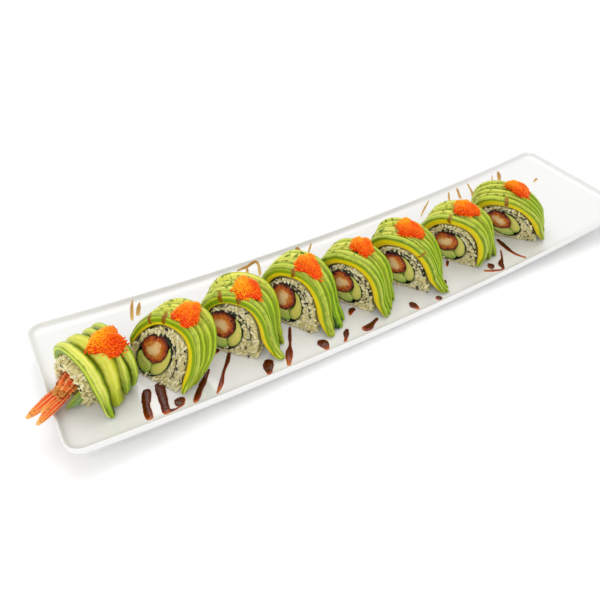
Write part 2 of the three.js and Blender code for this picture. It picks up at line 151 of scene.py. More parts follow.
class Look:
    """A material in the making: its methods add nodes and return their output sockets."""

    def __init__(self, name, roughness, glow=None, **sockets):
        """Glow is the light that shines through: its weight, radius in RGB and scale."""
        self.material = bpy.data.materials.new(name)
        self.material.use_nodes = True
        self.shader = self.material.node_tree.nodes["Principled BSDF"]
        self.shader.inputs["Roughness"].default_value = roughness
        if glow:
            names = ("Subsurface_Weight", "Subsurface_Radius", "Subsurface_Scale")
            sockets.update(zip(names, glow))
        for socket, value in sockets.items():
            self.shader.inputs[socket.replace("_", " ")].default_value = value

    def node(self, kind, **settings):
        node = self.material.node_tree.nodes.new(kind)
        for setting, value in settings.items():
            setattr(node, setting, value)
        return node

    def put(self, socket, value):
        """Links a socket to another one, or sets it to a plain value."""
        if isinstance(value, bpy.types.NodeSocket):
            self.material.node_tree.links.new(value, socket)
        else:
            socket.default_value = value

    def mottle(self, patch, grain, contrast):
        """The mottle group's tone and height, with its sizes given in metres."""
        node = self.node("ShaderNodeGroup", node_tree=mottle)
        node.inputs["Patch Size"].default_value = patch
        node.inputs["Grain Size"].default_value = grain
        node.inputs["Contrast"].default_value = contrast
        return node.outputs["Tone"], node.outputs["Height"]

    def attribute(self, name):
        return self.node("ShaderNodeAttribute", attribute_name=name).outputs["Fac"]

    def ramp(self, factor, stops):
        """A colour ramp, with its stops given as (place, red, green, blue)."""
        node = self.node("ShaderNodeValToRGB")
        elements = node.color_ramp.elements
        while len(elements) < len(stops):
            elements.new(0.5)
        for element, (place, *colour) in zip(elements, stops):
            element.position = place
            element.color = shade(*colour)
        self.put(node.inputs["Fac"], factor)
        return node.outputs["Color"]

    def calculate(self, operation, *values):
        node = self.node("ShaderNodeMath", operation=operation)
        for socket, value in zip(node.inputs, values):
            self.put(socket, value)
        return node.outputs[0]

    def step(self, value, low, high, top=1.0):
        """A mask that rises smoothly from 0 at low to top at high."""
        node = self.node("ShaderNodeMapRange", interpolation_type="SMOOTHSTEP")
        settings = {"Value": value, "From Min": low, "From Max": high, "To Max": top}
        for name, setting in settings.items():
            self.put(node.inputs[name], setting)
        return node.outputs["Result"]

    def mix(self, factor, first, second):
        """Mixes two colours by a factor."""
        node = self.node("ShaderNodeMix", data_type="RGBA")
        colours = [socket for socket in node.inputs if socket.type == "RGBA"]
        for socket, value in zip((node.inputs["Factor"], *colours), (factor, first, second)):
            self.put(socket, value)
        return next(socket for socket in node.outputs if socket.type == "RGBA")

    def finish(self, colour, height=None, distance=0.0, strength=1.0):
        """Gives the shader its colour, and its bump from a height; returns the material."""
        self.put(self.shader.inputs["Base Color"], colour)
        if height is None:
            return self.material
        bump = self.node("ShaderNodeBump")
        bump.inputs["Strength"].default_value = strength
        bump.inputs["Distance"].default_value = distance
        self.put(bump.inputs["Height"], height)
        self.put(self.shader.inputs["Normal"], bump.outputs["Normal"])
        return self.material


def bake(bm, name):
    """Turns a bmesh into a mesh and frees it."""
    mesh = bpy.data.meshes.new(name)
    bm.to_mesh(mesh)
    bm.free()
    return mesh


def pour(bm, source):
    """Adds a finished bmesh to another one and frees it."""
    mesh = bake(source, "poured")
    bm.from_mesh(mesh)
    bpy.data.meshes.remove(mesh)


def finish_piece(bm, name, material, place, nodes=(), levels=0):
    """Turns a bmesh into a smooth piece of the object that rides on the root body."""
    bmesh.ops.transform(bm, matrix=place, verts=bm.verts)
    bmesh.ops.recalc_face_normals(bm, faces=bm.faces)
    mesh = bake(bm, name)
    mesh.shade_smooth()
    mesh.materials.append(material)
    piece = bpy.data.objects.new(name, mesh)
    bpy.context.scene.collection.objects.link(piece)
    if levels:
        finer = piece.modifiers.new("finer", "SUBSURF")
        finer.levels = levels
        finer.render_levels = levels
    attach(piece, "root")
    if nodes:
        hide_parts(*nodes)
    return piece


FLOOR_HALF = 3.0
floor_look = Look("floor_white", 0.9)
floor_tone, _ = floor_look.mottle(0.3, 0.02, 0.1)
floor_colour = floor_look.mix(floor_tone, (0.97, 0.97, 0.97, 1), (0.99, 0.99, 0.99, 1))
floor_material = floor_look.finish(floor_colour)
floor_bm = bmesh.new()
bmesh.ops.create_grid(floor_bm, x_segments=1, y_segments=1, size=FLOOR_HALF)
floor_mesh = bake(floor_bm, "floor")
floor_mesh.materials.append(floor_material)
floor = bpy.data.objects.new("floor", floor_mesh)
bpy.context.scene.collection.objects.link(floor)

# ======================================================================== plate
# A slip-cast porcelain sashimi plate, glazed white all over. Its floor runs up
# into a low rolled lip, both ends curve up, and it stands on a flat foot.

PLATE_LENGTH = 414.0
PLATE_WIDTH = 100.0
PLATE_BOW = 11.25
FLOOR_TOP = 5.0
FOOT_LENGTH = 144.0
FOOT_WIDTH = 60.0
FOOT_CORNER = 10.0
FOOT_FLARE = 1.5
UNDERSIDE = 1.2
# Each ring of the body: how far it lies in from the edge, its height and corner radius.
PLATE_RINGS = [
    (6.0, UNDERSIDE, 6.0), (3.4, 1.45, 7.0), (1.7, 2.1, 8.0), (0.7, 3.3, 8.6), (0.15, 5.4, 8.9),
    (0.0, 7.3, 9.0), (0.15, 8.2, 8.8), (0.5, 8.6, 8.5), (0.95, 8.6, 8.1), (1.4, 8.15, 7.6),
    (1.9, 7.1, 7.1), (2.6, 6.1, 6.5), (3.7, 5.45, 6.0), (5.4, 5.12, 5.5), (8.0, FLOOR_TOP, 5.0),
]
CORNER_POINTS = 7
STRIP_LENGTH = 9.0


def bow(x):
    return PLATE_BOW * (2 * x / PLATE_LENGTH) ** 2


def plate_top(x, y):
    """The height of the plate's upper face."""
    depth = min(PLATE_WIDTH / 2 - abs(y), PLATE_LENGTH / 2 - abs(x))
    inner = PLATE_RINGS[:7:-1]
    for (far, low, _), (near, high, _) in zip(inner, inner[1:]):
        if near <= depth < far:
            return low + (high - low) * (far - depth) / (far - near) + bow(x)
    return FLOOR_TOP + bow(x)


def spin_profile(profile, steps, closed=False):
    """Spins a profile of (reach, height) points round the Z axis into a surface."""
    bm = bmesh.new()
    verts = [bm.verts.new((reach, 0, height)) for reach, height in profile]
    pairs = list(zip(verts, verts[1:]))
    if closed:
        pairs.append((verts[-1], verts[0]))
    edges = [bm.edges.new(pair) for pair in pairs]
    bmesh.ops.spin(
        bm, geom=verts + edges, cent=(0, 0, 0), axis=(0, 0, 1),
        angle=2 * math.pi, steps=steps, use_merge=True,
    )
    bmesh.ops.remove_doubles(bm, verts=bm.verts, dist=1e-6)
    return bm


def closed_rod(rings, sides):
    """A rod of radius 1 round the Z axis, one unit to a ring, drawn to a point at both ends."""
    return spin_profile([(0.0 if i in (0, rings) else 1.0, i) for i in range(rings + 1)], sides)


def make_plate():
    half_length, half_width = PLATE_LENGTH / 2, PLATE_WIDTH / 2
    rings = [
        (FOOT_LENGTH / 2 + grow, FOOT_WIDTH / 2 + grow, FOOT_CORNER + grow, z)
        for grow, z in ((0.0, 0.0), (FOOT_FLARE, UNDERSIDE))
    ]
    rings += [(half_length - d, half_width - d, radius, z) for d, z, radius in PLATE_RINGS]
    steps = 4 * CORNER_POINTS
    bm = spin_profile([(1.0, i) for i in range(len(rings))], steps)
    for vert in bm.verts:
        turned = math.atan2(vert.co.y, vert.co.x) / (2 * math.pi)
        step = round(turned * steps) % steps
        ring = round(vert.co.z)
        half_x, half_y, radius, z = rings[ring]
        corner, point = divmod(step, CORNER_POINTS)
        turn = math.pi / 2 * (corner + point / (CORNER_POINTS - 1))
        side_x = 1 if corner in (0, 3) else -1
        side_y = 1 if corner in (0, 1) else -1
        vert.co = (
            side_x * (half_x - radius) + radius * math.cos(turn),
            side_y * (half_y - radius) + radius * math.sin(turn),
            z,
        )
    bmesh.ops.holes_fill(bm, edges=[e for e in bm.edges if e.is_boundary], sides=0)
    strips = round(PLATE_LENGTH / STRIP_LENGTH)
    for i in range(1, strips):
        bmesh.ops.bisect_plane(
            bm, geom=bm.verts[:] + bm.edges[:] + bm.faces[:], dist=1e-4,
            plane_co=(PLATE_LENGTH * (i / strips - 0.5), 0, 0), plane_no=(1, 0, 0),
        )
    for vert in bm.verts:
        if vert.co.z > UNDERSIDE / 2:
            vert.co.z += bow(vert.co.x)
    return bm


glaze_look = Look(
    "porcelain_glaze", 0.13, Coat_Weight=0.4, Coat_Roughness=0.04, Specular_IOR_Level=0.5,
)
glaze_tone, glaze_grain = glaze_look.mottle(0.05, 0.018, 0.5)
glaze_colour = glaze_look.mix(glaze_tone, (0.79, 0.79, 0.785, 1), (0.82, 0.82, 0.815, 1))
glaze = glaze_look.finish(glaze_colour, glaze_grain, 0.00012)
to_metres = Matrix.Scale(MM, 4)
finish_piece(make_plate(), "plate_glazed", glaze, to_metres, ["plate"])

# ========================================================= where the pieces lie
# The roll was cut with a wet knife into eight pieces that were turned to face the
# same way. Each stands on the plate where its near cut face's foot is, turned by
# yaw, and its top leans along the piece (lean) and towards the front (tilt).

PLATE_CLEAR = 0.5
ARCH_POWER = 2.5
SLICE_THICK = 6.0
GAP = 0.3
# middle, turn, shrink: where the filling lies in the section, its turn and its size.
# flare, feet: how far the first and last slices run out over the plate, and where
# along the piece their feet are. yellow: how much of the first slice's cut is flesh.
# masago: the heap's place along and to the front, half length, half width, height.
# Painted light: the tops of the slices are painted paler where light falls on them, by a level for
# each slice, up to a share of the drape, and one side of each masago heap is painted lighter.
ROLL = [
    dict(x=-190.5, y=-8.0, yaw=19, lean=-0.12, tilt=0.30, width=44.0, height=38.5, length=24.5,
         slices=4, flare=(10.0, 2.0), flare_height=26.0, feet=(-2.0, 21.0), yellow=(0.02, 0.02),
         turn=75, masago=(15.5, 5.0, 8.5, 8.5, 6.4), shrink=0.85, middle=(1.6, 12.2),
         bulge=5.0, start=-1.8,
         cuts=(0.0, 0.20, 0.56, 0.80, 1.0), pallors=(0.95, 1.0, 0.75, 0.6),
         ripeness=(0.20, 1.0, 0.30, 0.20), painted_light_to=0.66, sunny_side=-1.9,
         marks=0.12),
    dict(x=-156.0, y=-18.0, yaw=29, lean=0.37, tilt=0.26, width=50.7, height=38.7, length=18.5,
         slices=4, flare=(3.0, 4.0), flare_height=14.0, feet=(-1.0, 19.0), yellow=(0.40, 0.66),
         turn=0, masago=(5.5, 3.0, 6.6, 7.0, 6.6), middle=(-3.0, 14.0)),
    dict(x=-109.2, y=-20.1, yaw=45, lean=0.18, tilt=0.06, width=49.2, height=38.6, length=23.3,
         slices=4, flare=(11.0, 8.5), flare_height=17.0, feet=(2.5, 18.5), yellow=(0.20, 0.62),
         turn=10, masago=(7.0, 4.6, 6.8, 8.0, 6.0), middle=(-3.6, 14.9), sunny_side=-1.9),
    dict(x=-66.8, y=-16.9, yaw=34, lean=0.16, tilt=-0.05, width=49.0, height=38.7, length=21.8,
         slices=4, flare=(8.5, 8.0), flare_height=16.0, feet=(0.5, 22.0), yellow=(0.60, 0.82),
         turn=12, masago=(8.0, 7.2, 6.4, 8.0, 6.0), middle=(-2.4, 15.4)),
    dict(x=-25.1, y=-17.9, yaw=32, lean=-0.04, tilt=-0.02, width=49.6, height=38.1, length=22.4,
         slices=5, flare=(8.5, 8.0), flare_height=15.0, feet=(-0.5, 19.0), yellow=(0.80, 0.84),
         turn=26, masago=(13.5, 3.6, 6.2, 7.0, 6.2), middle=(-0.6, 14.8)),
    dict(x=16.4, y=-21.7, yaw=37, lean=-0.07, tilt=-0.18, width=49.8, height=38.2, length=25.0,
         slices=6, flare=(9.0, 6.0), flare_height=14.0, feet=(2.0, 15.0), yellow=(0.84, 0.84),
         turn=22, masago=(13.4, 5.2, 7.0, 8.4, 6.0), middle=(-0.6, 15.2)),
    dict(x=60.3, y=-17.1, yaw=32, lean=-0.12, tilt=0.04, width=51.6, height=37.9, length=24.5,
         slices=4, flare=(0.5, 8.5), flare_height=16.0, feet=(-1.0, 21.5), yellow=(0.88, 0.84),
         turn=30, masago=(13.2, 2.4, 7.0, 8.4, 5.4), middle=(-0.4, 14.0)),
    dict(x=112.8, y=-21.5, yaw=40, lean=-0.29, tilt=-0.28, width=52.3, height=37.6, length=25.2,
         slices=5, flare=(4.0, 3.0), flare_height=13.0, feet=(2.0, 19.5), yellow=(0.88, 0.84),
         turn=30, masago=(17.0, 10.0, 6.4, 7.4, 6.4), middle=(-0.8, 14.8)),
]
PIECE_DEFAULTS = dict(shrink=1.0, bulge=0.0, start=0.0, painted_light_to=0.42, sunny_side=-0.5, marks=1.0)
for number, piece in enumerate(ROLL, 1):
    piece["number"] = number
    for key, value in PIECE_DEFAULTS.items():
        piece.setdefault(key, value)


def piece_place(piece):
    """From a piece's own axes (along, towards the back, up), in mm, to the frame."""
    settle = Matrix.Identity(4)
    settle[0][2] = piece["lean"]
    settle[1][2] = -piece["tilt"]
    slope = 8 * PLATE_BOW * piece["x"] / PLATE_LENGTH ** 2
    foot = Vector((piece["x"], piece["y"], FLOOR_TOP + bow(piece["x"]) + PLATE_CLEAR))
    return (
        to_metres @ Matrix.Translation(foot)
        @ Matrix.Rotation(-math.atan(slope), 4, "Y")
        @ Matrix.Rotation(math.radians(piece["yaw"]), 4, "Z") @ settle
    )


def finish_each(*layers):
    """Makes layers of every cut piece, given as (maker, name, material, slot, node); the slot is
    not used.
    """
    for piece in ROLL:
        number = piece["number"]
        for make, name, material, slot, node in layers:
            nodes = [f"{node}_{number}"] if node else ()
            finish_piece(make(piece), f"{name}_{number}", material, piece_place(piece), nodes)


def part_way(value, low, high):
    """How far a value is from low, where this is 0, to high, where it is 1."""
    return min(1.0, max(0.0, (value - low) / (high - low)))


def polar(vert):
    """A vertex's reach and angle round the Z axis, and its height."""
    return math.hypot(vert.co.x, vert.co.y), math.atan2(vert.co.y, vert.co.x), vert.co.z


def signed_power(value, power):
    return math.copysign(abs(value) ** power, value)


def oval(angle, radii, power=2.0):
    """A point on an oval whose corners are squarer as the power grows."""
    return (
        radii[0] * signed_power(math.cos(angle), 2 / power),
        radii[1] * signed_power(math.sin(angle), 2 / power),
    )


def reach_to_arch(piece, middle, angle, inset):
    """How far the rice's outline is from a point in the section, at an angle from the front."""
    half = piece["width"] / 2 - inset
    height = piece["height"] - inset
    low, high = 0.0, 60.0
    for _ in range(24):
        reach = (low + high) / 2
        front = middle[0] + reach * math.cos(angle)
        up = middle[1] + reach * math.sin(angle)
        inside = up > 0 and (abs(front) / half) ** ARCH_POWER + (up / height) ** ARCH_POWER < 1
        low, high = (reach, high) if inside else (low, reach)
    return low


def filling_point(piece, x, y):
    """From the filling's own axes to the piece's section."""
    turn = math.radians(piece["turn"])
    size = piece["shrink"]
    return (
        piece["middle"][0] + size * (x * math.cos(turn) - y * math.sin(turn)),
        piece["middle"][1] + size * (x * math.sin(turn) + y * math.cos(turn)),
    )


def warp(bm, shape):
    """Moves every vertex of a spun body by its reach, angle and height."""
    for vert in bm.verts:
        vert.co = shape(*polar(vert))


def repeat_shape(shape_bm, places, name="tone", tones=()):
    """Copies a small closed shape to many places, each with its own tone."""
    bm = bmesh.new()
    pour(bm, shape_bm)
    layer = bm.verts.layers.float.new(name)
    size = len(bm.verts)
    made = 1
    while made < len(places):
        more = min(made, len(places) - made)
        bm.verts.ensure_lookup_table()
        bm.faces.ensure_lookup_table()
        share = len(bm.faces) // made * more
        bmesh.ops.duplicate(bm, geom=bm.verts[:size * more] + bm.faces[:share])
        made += more
    bm.verts.ensure_lookup_table()
    for i, place in enumerate(places):
        for vert in bm.verts[size * i:size * (i + 1)]:
            vert.co = place @ vert.co
            vert[layer] = tones[i] if tones else 0.5
    return bm


def wobble(x, y, z, seed=0.0):
    """Smooth noise from -1 to 1 at a place."""
    return noise.noise(Vector((x + 17.3 * seed, y - 9.1 * seed, z + 5.7 * seed)))


# ========================================================================= rice
# Vinegared short-grain rice, pressed round the nori by the rolling mat. A core
# with the grains' relief fills each piece, and loose grains stand out of it at
# both cut faces and wherever the avocado leaves it bare.

NORI_RADIUS = (10.8, 12.9)
NORI_THICKNESS = 0.5
CORE_INSET = 0.9
CORE_DEPTH = 1.3
CORE_RELIEF = 0.55
BULGE_ROUNDING = 0.22
GRAIN_LENGTH = 5.2
GRAIN_WIDTH = 2.3
NEAR_FACE_GRAINS = 210
FAR_FACE_GRAINS = 130
FACE_GRAIN_GAP = 1.75
SIDE_GRAIN_TRIES = 900
SIDE_GRAIN_GAP = 1.9
LEAST_HEIGHT = 1.2


def ring_reach(piece, angle):
    """Half the nori ring's size at an angle, in the piece's section."""
    turned = angle - math.radians(piece["turn"])
    x, y = NORI_RADIUS
    return piece["shrink"] / math.hypot(math.cos(turned) / x, math.sin(turned) / y)


def section_point(piece, angle, share, inset):
    """A point between the nori ring (share 0) and the rice's outline (share 1)."""
    middle = piece["middle"]
    inner = ring_reach(piece, angle) + NORI_THICKNESS / 2
    outer = max(inner + 0.4, reach_to_arch(piece, middle, angle, inset))
    reach = inner + (outer - inner) * share
    return middle[0] + reach * math.cos(angle), middle[1] + reach * math.sin(angle)


def raw_end_drop(piece, along):
    """How much narrower the section is where the raw end bulges out."""
    if not piece["bulge"] or along >= 0:
        return 0.0
    return BULGE_ROUNDING * (along / piece["bulge"]) ** 2


def rice_point(piece, angle, share, depth, along, least=-math.inf):
    """A point in the rice, drawn in towards the filling where the raw end bulges."""
    front, up = section_point(piece, angle, share, SLICE_THICK + GAP + depth)
    up = max(up, least)
    drop = raw_end_drop(piece, along) * share
    middle = piece["middle"]
    return front + (middle[0] - front) * drop, up + (middle[1] - up) * drop


def make_rice_core(piece):
    near = -piece["bulge"] + CORE_INSET
    far = piece["length"] - CORE_INSET
    radial, lengthways = 6, 12
    profile = [(1 + i / radial, near) for i in range(radial)]
    profile += [(2.0, near + (far - near) * i / lengthways) for i in range(lengthways)]
    profile += [(2 - i / radial, far) for i in range(radial)]
    profile += [(1.0, far + (near - far) * i / lengthways) for i in range(lengthways)]
    bm = spin_profile(profile, 72, closed=True)

    def shape(reach, angle, along):
        front, up = rice_point(piece, angle, reach - 1, CORE_DEPTH, along)
        grains = wobble(0.42 * along, 0.42 * front, 0.42 * up, piece["number"])
        fine = wobble(0.9 * along, 0.9 * front, 0.9 * up, piece["number"])
        away = 1.0 if reach > 1.01 else 0.0
        lift = away * (CORE_RELIEF * grains + 0.25 * fine)
        if along == near or along == far:
            along += lift * (1 if along == far else -1)
        else:
            front += lift * math.cos(angle) * 0.7
            up = max(0.0, up + lift * math.sin(angle) * 0.7)
        return Vector((along, -front, up))

    warp(bm, shape)
    return bm


def grain_place(spot, lengthways, size):
    turn = lengthways.to_track_quat("Z", "Y").to_matrix().to_4x4()
    half_width = GRAIN_WIDTH * size / 2
    scale = Matrix.Diagonal((half_width, 0.92 * half_width, GRAIN_LENGTH * size / 2, 1))
    return Matrix.Translation(spot) @ turn @ scale


def make_rice_grains(piece):
    """Loose grains: stubby rods, slightly bent, standing half out of the core."""
    rng = random.Random(100 + piece["number"])
    places = []
    spots = []

    def far_enough(spot, gap):
        return all((spot - other).length > gap for other in spots)

    faces = ((-piece["bulge"], -1, NEAR_FACE_GRAINS), (piece["length"], 1, FAR_FACE_GRAINS))
    for along, outwards, tries in faces:
        spots.clear()
        for _ in range(tries * 4):
            angle = rng.uniform(-math.pi, math.pi)
            share = rng.uniform(0.05, 0.97)
            front, up = rice_point(piece, angle, share, 1.0, along, LEAST_HEIGHT)
            spot = Vector((along - outwards * rng.uniform(0.5, 1.1), -front, up))
            if not far_enough(spot, FACE_GRAIN_GAP):
                continue
            spots.append(spot)
            heading = rng.uniform(0, math.pi)
            axis = Vector((rng.gauss(0, 0.35), math.cos(heading), math.sin(heading))).normalized()
            places.append(grain_place(spot, axis, rng.uniform(0.62, 0.92)))
            if len(spots) > tries:
                break
    # Grains along the foot and the bare back of the piece.
    spots.clear()
    for i in range(SIDE_GRAIN_TRIES):
        along = rng.uniform(0.8 - piece["bulge"], piece["length"] - 0.8)
        angle = rng.uniform(-1.0, -0.5) if i % 4 == 0 else rng.uniform(-3.5, -2.2)
        if piece["bulge"] and i % 3 == 1:
            along = rng.uniform(-piece["bulge"], 3.0)
            angle = rng.uniform(-math.pi, math.pi)
        front, up = rice_point(piece, angle, 1.0, 0.9, along)
        spot = Vector((along, -front, max(up, LEAST_HEIGHT)))
        if not far_enough(spot, SIDE_GRAIN_GAP):
            continue
        spots.append(spot)
        axis = Vector((rng.uniform(-1, 1), rng.gauss(0, 0.3), rng.uniform(-1, 1))).normalized()
        places.append(grain_place(spot, axis, rng.uniform(0.75, 1.0)))
    bm = bmesh.new()
    bmesh.ops.create_uvsphere(bm, u_segments=8, v_segments=6, radius=1.0)
    for vert in bm.verts:
        vert.co.z = signed_power(vert.co.z, 0.85)
        vert.co.x += 0.16 * (1 - vert.co.z ** 2) - 0.08
    return repeat_shape(bm, places, "tone", [rng.random() for _ in places])


def make_rice_material(name, base_roughness):
    look = Look(
        name, base_roughness, glow=(0.5, (1.0, 0.85, 0.55), 0.0028), Specular_IOR_Level=0.4,
    )
    tone, height = look.mottle(0.0028, 0.0007, 1.2)
    mottled = look.mix(tone, shade(190, 174, 106), shade(250, 236, 184))
    toned = look.mix(look.attribute("tone"), shade(196, 182, 118), shade(255, 246, 206))
    return look.finish(look.mix(0.5, mottled, toned), height, 0.00015, 0.6)


rice_core_material = make_rice_material("rice_core", 0.5)
rice_grain_material = make_rice_material("rice_grain", 0.36)
finish_each(
    (make_rice_core, "rice_core", rice_core_material, "rice", "rice"),
    (make_rice_grains, "rice_grains", rice_grain_material, "rice", None),
)

# ========================================================================= nori
# A half sheet of toasted seaweed between the rice and the filling. It goes once
# round the filling and ends as a flap in the rice, and the knife frays its edge.

NORI_START = 75.0
NORI_END = -25.0
FLAP_LIFT = 0.95
FLAP_RISE = 5.0
FLAP_BLEND = 25.0
SHEET_WALL = 0.32


def make_nori(piece):
    bm = bmesh.new()
    bmesh.ops.create_grid(bm, x_segments=120, y_segments=14, size=0.5)
    number = piece["number"]
    first, last = NORI_START + 360.0, NORI_END
    for vert in bm.verts:
        share = vert.co.x + 0.5
        along = (vert.co.y + 0.5) * (piece["length"] + 0.5) - 0.25
        angle = first + (last - first) * share
        lift = 0.0
        if angle < NORI_START:
            past = (NORI_START - angle) / (NORI_START - NORI_END)
            lift = FLAP_LIFT + FLAP_RISE * past ** 1.4
        elif angle < NORI_START + FLAP_BLEND:
            lift = FLAP_LIFT * (1 - (angle - NORI_START) / FLAP_BLEND)
        frayed = 0.55 * wobble(0.09 * angle, 0.25 * along, 3.1, number)
        frayed += 0.42 * wobble(0.31 * angle, 0.5 * along, 7.7, number)
        front, up = oval(math.radians(angle), NORI_RADIUS)
        length = math.hypot(front, up)
        grow = (length + lift + frayed * (0.5 + 0.25 * lift)) / length
        front, up = filling_point(piece, front * grow, up * grow)
        if abs(vert.co.y) > 0.49:
            along += 0.55 * wobble(0.2 * angle, 0.0, 1.9, number)
        vert.co = (along, -front, max(0.15, up))
    bmesh.ops.recalc_face_normals(bm, faces=bm.faces)
    bmesh.ops.solidify(bm, geom=bm.faces[:], thickness=SHEET_WALL)
    return bm


nori_look = Look("nori_sheet", 0.42, Specular_IOR_Level=0.35)
nori_tone, nori_grain = nori_look.mottle(0.003, 0.0006, 1.5)
nori_colour = nori_look.mix(nori_tone, shade(8, 12, 8), shade(42, 56, 34))
nori_material = nori_look.finish(nori_colour, nori_grain, 0.0003)
finish_each((make_nori, "nori_sheet", nori_material, "nori", "nori"))

# ================================================================ prawn tempura
# One long prawn, battered, crumbed and fried. At a cut it shows pale flesh inside
# a golden crust that is darkest at its rim, and its crumbs stand out all round.

PRAWN = dict(centre=(-1.3, 3.8), radii=(8.4, 8.5))
FLESH_SHARE = 0.50
FLESH_PROUD = 0.35
CRUST_MOTTLE = 0.34


def rod_profile(near, far, cap_rings, side_rings, dome=0.3, rounding=0.35):
    """A capped rod's profile: a domed cut face, a small rounded edge and straight sides."""
    profile = []
    for i in range(cap_rings + 1):
        share = i / cap_rings
        profile.append((share * (1 - rounding * 0.08), near - dome * (1 - share ** 2)))
    profile.append((1.0, near + rounding))
    for i in range(1, side_rings):
        profile.append((1.0, near + rounding + (far - near - 2 * rounding) * i / side_rings))
    profile.append((1.0, far - rounding))
    for i in range(cap_rings, -1, -1):
        share = i / cap_rings
        profile.append((share * (1 - rounding * 0.08), far + dome * (1 - share ** 2)))
    return profile


def make_prawn_part(piece, share, proud, crumbs, steps):
    """One layer of the prawn, out to a share of its full section and proud of the cuts."""
    bm = spin_profile(rod_profile(-proud, piece["length"] + proud, 7, 10), steps)
    rim_layer = bm.verts.layers.float.new("rim")
    number = piece["number"]
    radius_x, radius_y = (share * value for value in PRAWN["radii"])
    for vert in bm.verts:
        reach, angle, along = polar(vert)
        lobes = 1 + 0.06 * math.sin(2 * angle + 1.3 * number)
        lobes += 0.04 * math.sin(3 * angle + 2.1 * number)
        if share < 1:
            lobes += 0.20 * math.sin(2 * angle + 2.9 * number)
            lobes += 0.11 * math.sin(3 * angle + 1.7 * number)
            lobes += 0.07 * math.sin(7 * angle + number)
        bumpy = crumbs * (
            0.9 * wobble(0.45 * along, 1.9 * math.cos(angle), 1.9 * math.sin(angle), number)
            + 0.7 * wobble(0.9 * along, 4.6 * math.cos(angle), 4.6 * math.sin(angle), number)
        )
        size = reach * (lobes + bumpy / PRAWN["radii"][0])
        x, y = size * radius_x * math.cos(angle), size * radius_y * math.sin(angle)
        front, up = filling_point(piece, PRAWN["centre"][0] + x, PRAWN["centre"][1] + y)
        if reach < 0.98:
            along += crumbs * (0.35 * wobble(0.5 * x, 0.5 * y, along, number + 3)
                               + 0.25 * wobble(1.3 * x, 1.3 * y, along, number + 7))
        vert[rim_layer] = reach
        vert.co = (along, -front, up)
    return bm


def make_crust(piece):
    return make_prawn_part(piece, 1.0, 0.0, 1.0, 64)


def make_flesh(piece):
    return make_prawn_part(piece, FLESH_SHARE, FLESH_PROUD, 0.15, 32)


flesh_look = Look("prawn_flesh", 0.38, glow=(0.4, (1.0, 0.6, 0.4), 0.002))
flesh_rings = flesh_look.ramp(flesh_look.attribute("rim"), [
    (0.0, 240, 212, 158), (0.50, 236, 196, 130), (0.80, 224, 148, 66), (1.0, 204, 102, 26),
])
flesh_tone, flesh_grain = flesh_look.mottle(0.0035, 0.0006, 1.4)
flesh_colour = flesh_look.mix(flesh_tone, flesh_rings, shade(242, 206, 146))
flesh_material = flesh_look.finish(flesh_colour, flesh_grain, 0.0003)

crust_look = Look("tempura_crust", 0.5, Specular_IOR_Level=0.4)
crust_tone, crust_grain = crust_look.mottle(0.0016, 0.0006, 2.4)
crust_rim = crust_look.calculate("ADD", crust_look.attribute("rim"), -CRUST_MOTTLE / 2)
crust_place = crust_look.calculate("MULTIPLY_ADD", crust_tone, CRUST_MOTTLE, crust_rim)
crust_colour = crust_look.ramp(crust_place, [
    (0.0, 226, 168, 78), (0.50, 216, 132, 34), (0.70, 198, 92, 12), (0.86, 150, 50, 2),
    (0.96, 74, 18, 0),
])
crust_material = crust_look.finish(crust_colour, crust_grain, 0.0008)

finish_each(
    (make_crust, "prawn_crust", crust_material, "prawn", "prawn"),
    (make_flesh, "prawn_flesh", flesh_material, "prawn", None),
)

# ================================================ cucumber and avocado sticks
# A squared cucumber stick with its skin on one side, and a wedge of avocado,
# lie along the roll under and in front of the prawn.

# Each is squeezed between the prawn and the nori, from one angle to another.
CUCUMBER = dict(angles=(-172, -84), power=3.4)
AVOCADO_STICK = dict(angles=(-82, 48), power=3.0)
STICK_PROUD = 0.15
POINT_REACH = 14.0
POINT_ROOT = 9.0
POINT_TIP = (9.2, 2.8)


def prawn_reach(angle):
    """How far the prawn's outline is from the middle of the nori's ring."""
    low, high = 0.0, 20.0
    for _ in range(20):
        reach = (low + high) / 2
        x = (reach * math.cos(angle) - PRAWN["centre"][0]) / PRAWN["radii"][0]
        y = (reach * math.sin(angle) - PRAWN["centre"][1]) / PRAWN["radii"][1]
        low, high = (reach, high) if x * x + y * y < 1 else (low, reach)
    return low


def make_stick(piece, stick, point=False):
    near = -POINT_REACH if point else -STICK_PROUD
    far = piece["length"] + STICK_PROUD
    bm = spin_profile(rod_profile(near, far, 4, 14, dome=0.12, rounding=0.3), 40)
    rim_layer = bm.verts.layers.float.new("rim")
    skin_layer = bm.verts.layers.float.new("skin")
    number = piece["number"]
    first, last = (math.radians(angle) for angle in stick["angles"])
    for vert in bm.verts:
        reach, angle, along = polar(vert)
        sweep, depth = oval(angle, (1.0, 1.0), stick["power"])
        heading = first + (last - first) * (0.5 + 0.5 * sweep * reach)
        heading += 0.05 * wobble(0.15 * along, 2 * sweep, 2 * depth, number)
        inner = prawn_reach(heading) + 0.15
        outer = math.hypot(*oval(heading, NORI_RADIUS)) - 0.35
        inner = min(inner, outer - 0.6)
        out = inner + (outer - inner) * (0.5 + 0.5 * depth * reach)
        front, up = filling_point(piece, out * math.cos(heading), out * math.sin(heading))
        vert[skin_layer] = 0.5 + 0.5 * depth
        if point and along < 0:
            share = -along / POINT_REACH
            vert[skin_layer] += 0.35 * min(1.0, 3 * share)
            size = 1.12 - 1.06 * share ** 2.4
            middle = (first + last) / 2
            root = filling_point(piece, *oval(middle, (POINT_ROOT, POINT_ROOT)))
            front = root[0] + (POINT_TIP[0] - root[0]) * share + size * (front - root[0])
            up = root[1] + (POINT_TIP[1] - root[1]) * share ** 0.8 + size * (up - root[1])
        vert[rim_layer] = reach
        vert.co = (along, -front, max(up, 0.7))
    return bm


def make_cucumber(piece):
    return make_stick(piece, CUCUMBER, point=piece["bulge"] > 0)


